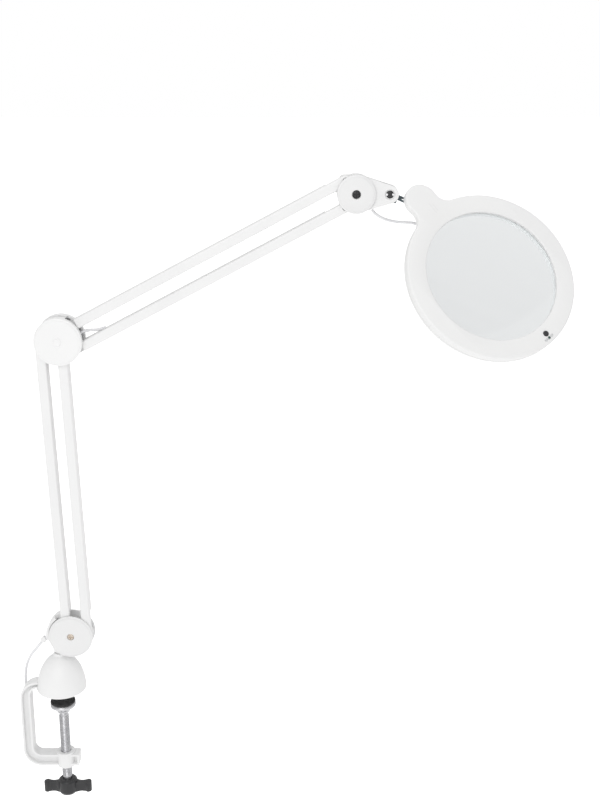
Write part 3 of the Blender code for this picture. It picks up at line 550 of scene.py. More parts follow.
def fillet_profile(corners, steps=5):
    """An open profile of (radius, height, rounding): each inner corner is rounded."""
    out = [corners[0][:2]]
    for i in range(1, len(corners) - 1):
        x, y, r = corners[i]
        here = Vector((x, y))
        before = Vector(corners[i - 1][:2]) - here
        after = Vector(corners[i + 1][:2]) - here
        if not r:
            out.append((x, y))
            continue
        u = before.normalized()
        v = after.normalized()
        half = u.angle(v) / 2
        reach = min(r / math.tan(half), before.length * 0.49, after.length * 0.49)
        a = here + u * reach
        b = here + v * reach
        for k in range(steps + 1):
            t = k / steps
            p = a * (1 - t) ** 2 + here * 2 * t * (1 - t) + b * t * t
            out.append((max(p.x, 0.0), p.y))
    out.append(corners[-1][:2])
    return out


def cylinder(radius, low, high, steps=48, axis="Z", rim=0.0):
    if not rim:
        return lathe([(0, low), (radius, low), (radius, high), (0, high)], steps, axis=axis)
    corners = [(0, low, 0), (radius, low, rim), (radius, high, rim), (0, high, 0)]
    return lathe(fillet_profile(corners, 4), steps, axis=axis)


def smooth_path(points, per_span=12):
    nodes = [Vector(p) for p in points]
    nodes = [2 * nodes[0] - nodes[1]] + nodes + [2 * nodes[-1] - nodes[-2]]
    path = []
    for i in range(1, len(nodes) - 2):
        a, b, c, d = nodes[i - 1 : i + 3]
        for k in range(per_span):
            t = k / per_span
            path.append(
                0.5 * (2 * b + (c - a) * t + (2 * a - 5 * b + 4 * c - d) * t * t)
                + 0.5 * (3 * b - 3 * c + d - a) * t**3
            )
    path.append(nodes[-2])
    return path


def tube(path, radius, sides=16, rim=0.25):
    """A round cable along the path. Its last ring at each end is smaller by rim."""
    points = []
    faces = []
    side = None
    path = [Vector(p) for p in path]
    last = len(path) - 1
    for i, centre in enumerate(path):
        ahead = (path[min(i + 1, last)] - path[max(i - 1, 0)]).normalized()
        if side is None:
            side = ahead.orthogonal()
        side = (side - ahead * side.dot(ahead)).normalized()
        up = ahead.cross(side)
        size = radius - rim if i in (0, last) else radius
        points += [tuple(centre + size * (side * x + up * y)) for x, y in circle(0, 0, 1, sides)]
    for ring in range(last):
        for i in range(sides):
            a = ring * sides + i
            b = ring * sides + (i + 1) % sides
            faces.append((a, b, b + sides, a + sides))
    faces.append(tuple(range(sides)))
    faces.append(tuple(range(len(points) - sides, len(points))))
    return points, faces


def moved(shape, x=0.0, y=0.0, z=0.0):
    points, faces = shape
    return [(a + x, b + y, c + z) for a, b, c in points], faces


def turned(shape, angle, axis):
    points, faces = shape
    turn = Matrix.Rotation(math.radians(angle), 3, axis)
    return [tuple(turn @ Vector(p)) for p in points], faces


def joined(*shapes):
    """Separate closed shapes held as one mesh."""
    points = []
    faces = []
    for more_points, more_faces in shapes:
        faces += [tuple(i + len(points) for i in face) for face in more_faces]
        points += more_points
    return points, faces


# ---------------------------------------------------------------- objects


SAME_POINT = 1e-7  # metres
NEARLY_SAME_POINT = 2e-6
FLAT_ANGLE = math.radians(0.6)
SHARP_ANGLE = math.radians(32)
CREASE_ANGLE = math.radians(38)


def add_object(name, data):
    obj = bpy.data.objects.new(name, data)
    bpy.context.scene.collection.objects.link(obj)
    return obj


def blank(shape):
    points, faces = shape
    mesh = bpy.data.meshes.new("shape")
    mesh.from_pydata([Vector(p) * MM for p in points], [], faces)
    work = bmesh.new()
    work.from_mesh(mesh)
    bmesh.ops.remove_doubles(work, verts=work.verts, dist=SAME_POINT)
    bmesh.ops.recalc_face_normals(work, faces=work.faces)
    work.to_mesh(mesh)
    work.free()
    return add_object("shape", mesh)


def settle(obj):
    """Applies the object's modifiers to its mesh."""
    graph = bpy.context.evaluated_depsgraph_get()
    mesh = bpy.data.meshes.new_from_object(obj.evaluated_get(graph))
    obj.modifiers.clear()
    obj.data = mesh


def combine(obj, shape, operation):
    other = blank(shape)
    step = obj.modifiers.new("step", "BOOLEAN")
    step.operation = operation
    step.solver = "EXACT"
    step.object = other
    settle(obj)
    bpy.data.objects.remove(other, do_unlink=True)


def clean(obj):
    """Merges doubled points and flat faces that a boolean left cut up."""
    work = bmesh.new()
    work.from_mesh(obj.data)
    bmesh.ops.remove_doubles(work, verts=work.verts, dist=NEARLY_SAME_POINT)
    bmesh.ops.dissolve_limit(work, angle_limit=FLAT_ANGLE, verts=work.verts, edges=work.edges)
    work.to_mesh(obj.data)
    work.free()


def soften(obj, width, segments=3):
    """Rounds every sharp edge by width millimetres."""
    clean(obj)
    bevel = obj.modifiers.new("edges", "BEVEL")
    bevel.width = width * MM
    bevel.segments = segments
    bevel.limit_method = "ANGLE"
    bevel.angle_limit = SHARP_ANGLE
    bevel.use_clamp_overlap = True
    bevel.miter_outer = "MITER_ARC"
    settle(obj)


def solid(shape, add=(), cut=(), soft=0.0, segments=3):
    obj = blank(shape)
    for other in add:
        combine(obj, other, "UNION")
    for other in cut:
        combine(obj, other, "DIFFERENCE")
    if soft:
        soften(obj, soft, segments)
    return obj


def slide(obj, x, y=0.0):
    obj.data.transform(Matrix.Translation((x * MM, y * MM, 0)))


def finish(name, obj, look, body, nodes=(), at=None):
    """Names and places the piece. body: what it rides on. nodes: the CAD nodes that it stands for.

    at is given where it isn't the body's own place.
    """
    obj.name = name
    obj.data.name = name
    obj.data.transform(at or BODY_PLACES[body])
    obj.data.materials.clear()
    obj.data.materials.append(look)
    obj.data.shade_smooth()
    obj.data.set_sharp_from_angle(angle=CREASE_ANGLE)
    if body:
        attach(obj, body)
    if nodes:
        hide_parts(*nodes)


def finish_node(node, kind, obj, look, body, at=None):
    """Finishes the piece that stands for one CAD node, under a name of its own."""
    finish(node + "_" + kind, obj, look, body, [node], at)


# ---------------------------------------------------------------- clamp and base cover

ARM_BOTTOM = 2.5
ARM_TOP = 9.0
CLAMP_RIGHT = 14.0
SPINE_OUTER = -41.0
SPINE_INNER = -31.0
LOWER_ARM_TOP = -72.0
LOWER_ARM_BOTTOM = -84.0
CLAMP_HALF = 6.5
WEB_HALF = 2.2
FLANGE = 2.0
BOSS_RADIUS = 9.0
BOSS_TOP = 14.0
SPINDLE_BORE = 4.5
SCREW_BORE = 5.3
COVER_RADIUS = 24.0
COVER_TOP = 39.6


def clamp_outline(inset):
    left = SPINE_OUTER + inset
    right = CLAMP_RIGHT - inset
    inner = SPINE_INNER - inset
    big = 18 - inset
    small = 8 + inset
    end = 1.0
    return rounded(
        [
            (right, ARM_TOP - inset, end),
            (left, ARM_TOP - inset, big),
            (left, LOWER_ARM_BOTTOM + inset, big),
            (right, LOWER_ARM_BOTTOM + inset, end),
            (right, LOWER_ARM_TOP - inset, end),
            (inner, LOWER_ARM_TOP - inset, small),
            (inner, ARM_BOTTOM + inset, small),
            (right, ARM_BOTTOM + inset, end),
        ],
        12,
    )


def make_clamp():
    body = prism([clamp_outline(0)], -CLAMP_HALF, CLAMP_HALF, "XZ")
    front = prism([clamp_outline(FLANGE)], -CLAMP_HALF - 1, -WEB_HALF, "XZ")
    rear = prism([clamp_outline(FLANGE)], WEB_HALF, CLAMP_HALF + 1, "XZ")
    obj = solid(body, cut=[front, rear])
    combine(obj, cylinder(BOSS_RADIUS, ARM_BOTTOM + 0.8, BOSS_TOP, 64), "UNION")
    combine(obj, cylinder(BOSS_RADIUS, LOWER_ARM_BOTTOM - 2, LOWER_ARM_TOP + 2, 64), "UNION")
    combine(obj, cylinder(SPINDLE_BORE, 0.0, 16.0, 48), "DIFFERENCE")
    screw_bore = cylinder(SCREW_BORE, LOWER_ARM_BOTTOM - 4, LOWER_ARM_TOP + 4, 48)
    combine(obj, screw_bore, "DIFFERENCE")
    soften(obj, 0.55)
    finish_node("clamp_frame", "cast", obj, paint, "clamp")

    pad = rounded([(13, -6.2, 2), (13, 6.2, 2), (-24, 6.2, 2), (-24, -6.2, 2)], 6)
    obj = solid(prism([pad], 0.0, 2.2), soft=0.5)
    finish_node("jaw_pad", "moulded", obj, rubber, "clamp")


def make_base_cover():
    curve = smooth_path(
        [
            (COVER_RADIUS, 0, 1.4),
            (23.95, 0, 4.0),
            (23.2, 0, 10.0),
            (21.7, 0, 16.6),
            (19.2, 0, 23.2),
            (15.6, 0, 29.2),
            (11.2, 0, 34.0),
            (7.0, 0, 37.0),
        ],
        6,
    )
    outer = [(p.x, p.z) for p in curve]
    inner = [(max(p.x - 2.0, 7.5), p.z - 1.2) for p in reversed(curve[4:-10])]
    rim = [(2.0, 0.9), (1.6, 0.5), (0.5, 0.5), (0.1, 0.8)]
    rim = [(COVER_RADIUS - inset, z) for inset, z in rim]
    crown = [(6.5, 37.6), (6.3, 39.2), (6.0, COVER_TOP), (4.8, COVER_TOP), (4.6, COVER_TOP - 0.2)]
    profile = [(4.6, 0.8), (5.0, 0.5), (7.0, 0.5), (7.5, 1.0)]
    profile = [(r, BOSS_TOP + above) for r, above in profile]
    profile += inner + rim + outer + crown
    half = CLAMP_HALF + 0.5
    corners = [(-half, ARM_TOP + 0.5, 1), (half, ARM_TOP + 0.5, 1), (half, -3, 1), (-half, -3, 1)]
    slot = prism([rounded(corners, 5)], -30, -9, "YZ")
    obj = solid(lathe(profile, 128, closed=True), cut=[slot], soft=0.25, segments=2)
    finish_node("base_cover", "moulded", obj, plastic, "clamp")


def thread(radius, depth, pitch, low, high, steps):
    """The rings of points of a true helical thread between low and high, six to a turn."""
    rows = int((high - low) / pitch * 6)
    profile_rows = []
    for i in range(rows + 1):
        z = low + (high - low) * i / rows
        taper = min(1.0, (z - low) / pitch, (high - z) / pitch)
        ring = []
        for k in range(steps):
            phase = (z / pitch - k / steps) % 1.0
            r = radius - depth * taper * (1 - abs(2 * phase - 1)) - depth * (1 - taper)
            a = 2 * math.pi * k / steps
            ring.append((r * math.cos(a), r * math.sin(a), z))
        profile_rows.append(ring)
    return profile_rows


def rings_to_shape(rings, steps):
    points = [p for ring in rings for p in ring]
    faces = []
    for row in range(len(rings) - 1):
        for i in range(steps):
            a = row * steps + i
            b = row * steps + (i + 1) % steps
            faces.append((a, b, b + steps, a + steps))
    faces.append(tuple(range(steps)))
    faces.append(tuple(range(len(points) - steps, len(points))))
    return points, faces


def make_clamp_screw():
    low, high = height_span("clamp_screw")
    steps = 32

    def plain(levels):
        unit = circle(0, 0, 1, steps)
        return [[(r * x, r * y, z) for x, y in unit] for r, z in levels]

    foot = plain([(3.6, low), (4.1, low + 0.5), (4.2, low + 3.0)])
    neck = plain([(4.1, high - 5.6), (3.0, high - 4.4), (3.0, high - 0.4), (2.7, high)])
    rings = foot + thread(5.0, 0.8, 1.5, low + 4.0, high - 6.4, steps) + neck
    obj = solid(rings_to_shape(rings, steps))
    finish_node("clamp_screw", "threaded", obj, steel, "clamp_screw")

    k_low, k_high = height_span("clamp_knob")
    hub = [(0, k_low, 0), (7.8, k_low, 1.2), (9.5, k_low + 3, 2), (9.5, k_high - 2, 2)]
    hub += [(7.5, k_high, 0.8), (0, k_high, 0)]
    hub_profile = fillet_profile(hub, 5)
    wing = rounded([(-24, -3.8, 3.6), (24, -3.8, 3.6), (24, 3.8, 3.6), (-24, 3.8, 3.6)], 8)
    hollow = cylinder(9.0, k_low - 5, k_high + 5, 48)
    waist = [moved(hollow, x=sx * 14.5, y=sy * 10.9) for sx in (-1, 1) for sy in (-1, 1)]
    obj = solid(prism([wing], k_low + 1.5, k_high - 4), cut=waist)
    combine(obj, lathe(hub_profile, 64), "UNION")
    combine(obj, cylinder(4.5, k_high - 2.3, k_high + 1, 48), "DIFFERENCE")
    soften(obj, 0.9, 4)
    finish_node("clamp_knob", "moulded", obj, black, "clamp_screw")

    top = height_span("pressure_pad")[1]
    cup = [(0, 0, 0), (11.0, 0, 0.6), (12.5, 1.6, 0.6), (12.5, 3.4, 0.8), (6.6, 8.4, 1.5)]
    cup += [(6.5, 9.9, 0.4), (3.4, 9.9, 0.2), (3.4, 6.2, 0), (0, 6.2, 0)]
    cup = fillet_profile([(r, top - drop, rounding) for r, drop, rounding in cup], 5)
    obj = solid(lathe(cup, 72))
    finish_node("pressure_pad", "turned", obj, steel, "clamp_foot")
    grooves = [(0, top + 0.3)]
    for r in (11.6, 12.1, 12.3):
        grooves.append((r, top + 0.3 + (r - 11.6) * 0.5))
    grooves.append((12.3, top + 1.4))
    r = 12.0
    while r > 1.5:
        grooves += [(r, top + 2.0), (r - 0.9, top + 2.0)]
        grooves += [(r - 1.2, top + 1.6), (r - 1.7, top + 1.6)]
        r -= 2.0
    grooves.append((0, top + 1.9))
    obj = solid(lathe(grooves, 72))
    finish("pressure_pad_sole", obj, rubber, "clamp_foot", ["pressure_pad_rubber"])


# ---------------------------------------------------------------- knuckles

DISC_INNER = 6.8
DISC_HOLE = 3.9
BASE_BOLT_RADIUS = 3.1
SHROUD_RADIUS = 24.5
SHROUD_INNER = 21.9
BASE_FACE = 9.5
HEAD_FACE = 10.0
HEAD_DISC_RADIUS = 17.0
ELBOW_FACE = 13.0
ELBOW_RADIUS = 22.0
ELBOW_LIP = 19.8
ELBOW_WALL = 10.8
PIN_RADIUS = 2.4
BORE_RADIUS = 2.7
BEVEL_WIDE = 1.9
BEVEL_DEEP = 0.9


def rim_bevel(radius, face, side):
    """A bevelled rim, with a fine step where it meets the flat face."""
    foot = radius - BEVEL_WIDE
    return [
        (radius, face - side * BEVEL_DEEP, 0.5),
        (foot + 0.3, face - side * 0.3, 0.15),
        (foot, face - side * 0.42, 0.05),
        (foot - 0.12, face, 0.12),
    ]


def disc_shape(radius, face, hole):
    """A knuckle cover with a bevelled edge. face: where its outer face is along Y."""
    side = math.copysign(1, face)
    inner = side * DISC_INNER
    edge = [(radius - 0.3, inner, 0.2), (radius, inner + side * 0.4, 0.3)]
    edge += rim_bevel(radius, face, side)
    if hole:
        corners = [(hole, inner, 0)] + edge
        corners += [(hole + 0.5, face, 0.3), (hole, face - side * 0.5, 0.3), (hole, inner, 0)]
        return lathe(fillet_profile(corners, 6)[:-1], 128, closed=True, axis="Y")
    return lathe(fillet_profile([(0, inner, 0)] + edge + [(0, face, 0)], 6), 128, axis="Y")


def screw_head(radius, low, high):
    """A domed round head with a crossed recess in its front."""
    slot = 0.45
    deep = 1.0
    dome = [(0, low - 0.25, 0), (radius * 0.6, low - 0.12, 1.0), (radius, low + 0.35, 0.4)]
    dome += [(radius, high, 0.1), (0, high, 0)]
    head = lathe(fillet_profile(dome, 4), 48, axis="Y")
    half = radius * 0.62
    slots = [
        box((-half, low - 1, -slot), (half, low + deep, slot)),
        box((-slot, low - 1, -half), (slot, low + deep, half)),
    ]
    return solid(head, cut=slots)


def pin_bore(x=0.0, z=0.0):
    """What is cut away for a pin right through a knuckle."""
    return moved(cylinder(BORE_RADIUS, -9, 9, 32, "Y"), x=x, z=z)


def make_pin(node, body, x, z=0.0, low=-6.3, high=6.3, radius=PIN_RADIUS, rim=0.4):
    pin = solid(moved(cylinder(radius, low, high, 32, "Y", rim), x=x, z=z))
    finish_node(node, "steel", pin, steel, body)


def make_base_knuckle():
    left, right = sorted(LOWER_PIVOTS)
    neck = [(-22.5, -5.0), (-19.0, -10.0), (-17.3, -17.5)]
    neck += [(-8.9, -17.5), (2.0, -18.0), (10.0, -15.0)]
    rear = circle(0, 0, SHROUD_RADIUS, 40, 112, 184) + neck
    rear += circle(right, 0, 5.0, 24, -70, 90) + [(left + 3.0, 5.2)]
    front = circle(0, 0, SHROUD_RADIUS, 32, 128, 184) + neck + [(13.0, -5.6), (-16.5, -5.6)]
    front += circle(0, 0, SHROUD_INNER, 24, 184, 128)
    foot = 4.0 - BASE_HEIGHT
    stem = [(0, foot, 0), (4.2, foot, 0.5), (4.2, -18.6, 0.6), (5.2, -15.0, 0), (0, -15.0, 0)]
    spindle = moved(lathe(fillet_profile(stem, 5), 64), x=-SWIVEL)
    obj = solid(prism([rear], -0.8, 6.5, "XZ"), add=[prism([front], -6.5, 1.0, "XZ"), spindle])
    for pivot in (left, right):
        combine(obj, pin_bore(pivot), "DIFFERENCE")
    soften(obj, 0.5)
    finish_node("base_bracket", "cast", obj, paint, "turret")

    low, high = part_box("base_disc_front")
    radius = (high[0] - low[0]) / MM / 2
    hole = BASE_BOLT_RADIUS + 0.2
    discs = (("base_disc_front", -BASE_FACE, hole), ("base_disc_rear", BASE_FACE, 0))
    # These covers take the darker copy of the white moulding, painted shade.
    for name, face, hole in discs:
        cover = solid(disc_shape(radius, face, hole))
        finish_node(name, "cover", cover, shaded_cover_plastic, "turret")
    bolt = screw_head(BASE_BOLT_RADIUS, -8.9, -6.9)
    finish_node("base_bolt", "head", bolt, zinc, "turret")
    make_pin("base_pin_left", "turret", left)
    make_pin("base_pin_right", "turret", right)
    ring = [(1.65, -2.6, 0), (2.9, -2.6, 0.5), (2.9, 2.6, 0.5), (1.65, 2.6, 0), (1.65, -2.6, 0)]
    ring = fillet_profile(ring, 4)[:-1]
    clip = solid(moved(turned(lathe(ring, 48, closed=True), 41, AXIS_Y), x=-27.9, z=-6.6))
    finish_node("cable_clip", "moulded", clip, plastic, "turret")


ELBOW_SKIRT = (72, 160)  # degrees round the covers where no bar passes and their rims reach inwards


def make_elbow():
    lower = [(x, 0.0) for x in ELBOW_LOWER]
    upper = [(ELBOW_UPPER_X, ELBOW_UPPER_Z), (ELBOW_UPPER_X, -ELBOW_UPPER_Z)]
    post = (-6.0, 13.5)
    outline = hull_of_circles([(x, z, 3.5) for x, z in lower + upper] + [(*post, 5.0)])
    holes = [circle(x, z, BORE_RADIUS, 32) for x, z in lower + upper] + [circle(*post, 3.5, 32)]
    plate = solid(prism([outline] + holes, -0.8, 0.8, "XZ"), soft=0.15, segments=2)
    finish_node("elbow_plate", "pressed", plate, galvanised, "elbow")
    radius = ELBOW_RADIUS
    for name, side, hole in (("elbow_disc_front", -1, DISC_HOLE), ("elbow_disc_rear", 1, 0)):
        f = side * ELBOW_FACE
        w = side * ELBOW_WALL
        i = side * DISC_INNER
        corners = [(ELBOW_LIP, i, 0.2), (radius, i, 0.3)] + rim_bevel(radius, f, side)
        if hole:
            corners = [(hole, w, 0), (ELBOW_LIP, w, 1.0)] + corners
            corners += [(hole + 0.1, f, 0.03), (hole, f - side * 0.1, 0.03), (hole, w, 0)]
            cover = lathe(fillet_profile(corners, 6)[:-1], 112, closed=True, axis="Y")
        else:
            corners = [(0, w, 0), (ELBOW_LIP, w, 1.0)] + corners + [(0, f, 0)]
            cover = lathe(fillet_profile(corners, 6), 112, axis="Y")
        low, high = sorted((side * 2.2, side * (DISC_INNER + 1.0)))
        arc = circle(0, 0, radius - 0.1, 40, *ELBOW_SKIRT)
        arc += circle(0, 0, radius - 1.9, 40, *reversed(ELBOW_SKIRT))
        obj = solid(cover, add=[prism([arc], low, high, "XZ")])
        finish_node(name, "cover", obj, plastic, "elbow")
    plug = [(0, -14.0, 0), (3.2, -13.95, 0.5), (3.7, -13.3, 0.2), (4.0, -13.08, 0.15)]
    plug += [(4.6, -13.0, 0), (3.6, -13.0, 0), (3.6, -10.9, 0.2), (0, -10.9, 0)]
    obj = solid(lathe(fillet_profile(plug, 6), 64, axis="Y"))
    finish_node("elbow_plug", "cap", obj, plastic, "elbow")
    make_pin("elbow_post", "elbow", *post, -10.5, 10.5, radius=3.2)
    pins = (
        ("elbow_pin_lower_left", lower[0], -6.3, 0.7),
        ("elbow_pin_lower_right", lower[1], -6.3, 0.7),
        ("elbow_pin_upper_top", upper[0], -0.7, 6.3),
        ("elbow_pin_upper_bottom", upper[1], -0.7, 6.3),
    )
    for name, spot, low, high in pins:
        make_pin(name, "elbow", *spot, low, high, rim=0.35)


def make_head_knuckle():
    x = HEAD_PIVOT_X
    half = ELBOW_UPPER_Z
    nose = (NOSE[0], NOSE[1], 7.8)
    wedge = hull_of_circles([(0, 0, 16.5), nose], 96)
    ears = [p for z in (half, -half) for p in circle(x - 1.2, z, 4.4, 32)]
    rear = hull(ears + keep_right_of(wedge, x))
    slot = box((NOSE[0] - 9.5, -3.9, -30), (NOSE[0] + 20, 3.9, 30))
    plate = prism([rear], -0.8, 6.5, "XZ")
    obj = solid(plate, add=[prism([keep_right_of(wedge, -3.5)], -6.5, 1.0, "XZ")])
    cuts = [pin_bore(x, z) for z in (half, -half)]
    cuts += [slot, pin_bore(), pin_bore(*NOSE)]
    cuts += [moved(cylinder(4.6, -9, -5.0, 48, "Y"), x=NOSE[0], z=NOSE[1])]
    for shape in cuts:
        combine(obj, shape, "DIFFERENCE")
    soften(obj, 0.45)
    body = "head_knuckle"
    finish_node("head_bracket", "cast", obj, paint, body)
    discs = (("head_disc_front", -HEAD_FACE, DISC_HOLE), ("head_disc_rear", HEAD_FACE, 0))
    # These covers take the darker copy of the white moulding, painted shade.
    for name, face, hole in discs:
        cover = solid(disc_shape(HEAD_DISC_RADIUS, face, hole))
        finish_node(name, "cover", cover, shaded_cover_plastic, body)
    bolt = screw_head(3.5, -8.2, -6.9)
    combine(bolt, cylinder(PIN_RADIUS, -7.2, 6.2, 32, "Y"), "UNION")
    finish_node("head_bolt", "dark", bolt, black, body)
    make_pin("head_pin_top", body, x, half)
    make_pin("head_pin_bottom", body, x, -half)

    # The black crown is painted shade, standing in for a dark recess in the screw's head.
    crown = [(0, -5.9, 0), (2.4, -5.8, 0.8), (3.4, -5.3, 0.3), (3.4, -5.2, 0), (0, -5.2, 0)]
    screw = solid(lathe(fillet_profile(crown, 4), 64, axis="Y"))
    combine(screw, cylinder(PIN_RADIUS, -5.3, 10.6, 32, "Y", 0.3), "UNION")
    finish_node("nose_screw", "dark", screw, black, body, at=AT_NOSE)
    # Painted highlights: two bright spots at the sides of the black crown.
    highlight_spots = [moved(cylinder(1.0, -6.15, -5.3, 24, "Y", 0.2), x=side * 2.75) for side in (-1, 1)]
    finish("nose_screw_flats", blank(joined(*highlight_spots)), painted_highlight_look, body, at=AT_NOSE)
    hexagon = prism([circle(0, 0, 4.9, 6), circle(0, 0, BORE_RADIUS, 24)], 6.8, 10.0, "XZ")
    nut = solid(hexagon, soft=0.3, segments=2)
    finish_node("nose_nut", "hex", nut, dark, body, at=AT_NOSE)
    for name, side in (("nose_washer_front", -1), ("nose_washer_rear", 1)):
        inner, outer = side * 2.9, side * 3.6
        ring = [(BORE_RADIUS, inner), (6.0, inner), (6.0, outer), (BORE_RADIUS, outer)]
        washer = solid(lathe(ring, 48, True, "Y"))
        finish_node(name, "fibre", washer, fibre, body, at=AT_NOSE)


# ---------------------------------------------------------------- bars and springs

BAR_HALF = 4.6
DEEP = 6.5
EDGE = 1.5
EDGE_STEPS = 5


def edge_levels(side):
    """(height, inset) pairs of the rounded outer edge of a lug."""
    out = [(side * 1.1, 0.0)]
    for k in range(EDGE_STEPS + 1):
        a = math.pi / 2 * k / EDGE_STEPS
        out.append((side * (DEEP - EDGE + EDGE * math.sin(a)), EDGE * (1 - math.cos(a))))
    return out


def make_bar(node, body, length, start, end):
    first_pivot, last_pivot = bar_starts[body]
    way = (last_pivot - first_pivot).normalized()
    at = place(first_pivot, way)
    corners = [(-DEEP, -BAR_HALF), (DEEP, -BAR_HALF), (DEEP, BAR_HALF), (-DEEP, BAR_HALF)]
    section = rounded([(x, y, EDGE) for x, y in corners], EDGE_STEPS)
    obj = solid(prism([section], start[0], length - end[0], "YZ"))
    for x, reach, side, turn in ((0, *start, 1), (length, *end, -1)):
        levels = []
        for y, inset in edge_levels(side):
            size = BAR_HALF - inset
            arc = circle(x, 0, size, 24, 90 if turn > 0 else -90, 270 if turn > 0 else 90)
            inside = x + turn * (reach + 1)
            levels.append((y, [arc + [(inside, -size * turn), (inside, size * turn)]]))
        levels.sort(key=lambda level: level[0])
        combine(obj, layered(levels, "XZ"), "UNION")
        low, high = sorted((side * 0.1, side * 7.5))
        combine(obj, moved(cylinder(BORE_RADIUS, low, high, 32, "Y"), x=x), "DIFFERENCE")
    first = start[0] + 6.0
    last = length - end[0] - 6.0
    corners = [(first, -3.3), (last, -3.3), (last, 3.3), (first, 3.3)]
    groove = rounded([(x, z, 2.5) for x, z in corners], 6)
    combine(obj, prism([groove], -4.9, 8.0, "XZ"), "DIFFERENCE")
    clean(obj)
    finish_node(node, "channel", obj, paint, body, at=at)
    return at


def helix(radius, start, turns, pitch):
    steps = 14
    path = []
    for i in range(int(turns * steps) + 1):
        a = 2 * math.pi * i / steps
        path.append((start + pitch * i / steps, radius * math.cos(a), radius * math.sin(a)))
    return path


def make_spring(node, body, at, start):
    """A close-wound tension spring with a hook at each end, hooked over a cross pin in the bar."""
    turns = 96
    pitch = 1.25
    coil = helix(1.95, start, turns, pitch)
    end = start + turns * pitch
    hook = [(11.0, 1.2, 0.0), (9.5, -0.6, 0.0), (6.0, -0.9, 0.0), (2.0, 0.3, 0.3)]
    head_hook = [(start - x, y, z) for x, y, z in hook]
    tail_hook = [(end + x, y, -z) for x, y, z in reversed(hook)]
    path = head_hook + coil + tail_hook
    finish_node(node, "coil", solid(tube(path, 0.5, 6, 0.1)), steel, body, at=at)


def make_arms():
    """Bars with (reach, side) of the half-depth lug at each end, and the spring in each."""
    base_lug = (24.0, -1)
    head_lug = (18.0, -1)
    for arm, side, length, first, last, spring_start in (
        ("lower", "left", LOWER_LENGTH, base_lug, (13.0, -1), 50.0),
        ("lower", "right", LOWER_LENGTH, base_lug, (21.0, -1), 50.0),
        ("upper", "top", UPPER_LENGTH, (8.0, 1), head_lug, 45.0),
        ("upper", "bottom", UPPER_LENGTH, (13.5, 1), head_lug, 45.0),
    ):
        body = arm + "_" + side
        at = make_bar(arm + "_bar_" + side, body, length, first, last)
        make_spring(arm + "_spring_" + side, body, at, spring_start)


# ---------------------------------------------------------------- link, swivel and head

SHANK_RADIUS = 2.3


def make_link():
    """A flat eye with a shoulder under its shank, and a split where the shank leaves it."""
    outline = hull_of_circles([(0, 0, 6.3), (7.4, -4.9, 0.7), (7.4, 1.5, 0.7)])
    eye = prism([outline], -2.6, 2.6, "XZ")
    r = SHANK_RADIUS
    shank = fillet_profile([(0, 4.6, 0), (r, 4.6, 0), (r, 33.0, 0.5), (0, 33.5, 0)], 4)
    rod = lathe(shank, 48, axis="X")
    split = box((11.5, -9, -0.4), (20.0, 9, 0.5))
    obj = solid(eye, add=[rod], cut=[pin_bore(), split], soft=0.3)
    finish_node("link_eye", "forged", obj, dark, "link")
    section = rounded([(6.0, -5.0, 2), (6.0, 5.2, 1), (-6.0, 5.2, 1), (-6.0, -5.0, 2)], 6)
    bores = [cylinder(3.1, -9, 9, 32, "X"), cylinder(2.5, 1.0, 8.0, 32)]
    obj = solid(prism([section], -7.0, 7.5, "YZ"), cut=bores, soft=0.35)
    finish_node("link_barrel", "block", obj, dark, "link_block")
    pin = solid(cylinder(2.2, 3.2, 10.2, 32, rim=0.3))
    finish_node("swivel_pin", "steel", pin, steel, "link_block")


HEAD_RADIUS = 77.5
LOBE_RADIUS = 15.0
FILLET_RADIUS = 12.0
APERTURE = 60.4
RING_STEPS = 200


def head_outline(inset):
    big = HEAD_RADIUS - inset
    small = LOBE_RADIUS - inset
    hollow = FILLET_RADIUS + inset
    far = big + hollow
    near = small + hollow
    x = (near * near - far * far + LENS_OFFSET * LENS_OFFSET) / (2 * LENS_OFFSET)
    y = math.sqrt(near * near - x * x)
    at_lobe = math.degrees(math.atan2(y, x))
    at_ring = math.degrees(math.atan2(y, x - LENS_OFFSET))
    ring = circle(LENS_OFFSET, 0, big, RING_STEPS, -at_ring, at_ring)
    lobe = circle(0, 0, small, 56, at_lobe, 360 - at_lobe)
    upper = circle(x, y, hollow, 20, at_ring - 180, at_lobe - 180)[1:-1]
    lower = [(p, -q) for p, q in reversed(upper)]
    return ring + upper + lobe + lower


def head_ring(radius):
    return circle(LENS_OFFSET, 0, radius, RING_STEPS)


def round_over(radius, steps=6):
    """(drop below the top, inset) of a rounded top edge, from its foot up."""
    out = []
    for k in range(steps + 1):
        a = math.pi / 2 * k / steps
        out.append((radius * (1 - math.sin(a)), radius * (1 - math.cos(a))))
    return out


SCREW_SPOTS = circle(0, 0, 74.4, 3, 60, 420)  # the shells' screws, from the lens's middle
BUTTON_RADIUS = 2.4
LIGHT_RADIUS = 1.1
LIGHT_CHIPS = 60


def on_head(node):
    """Where the middle of a CAD node is on the head, in millimetres."""
    spot = AT_HEAD.inverted() @ middle(node)
    return spot.x / MM, spot.y / MM


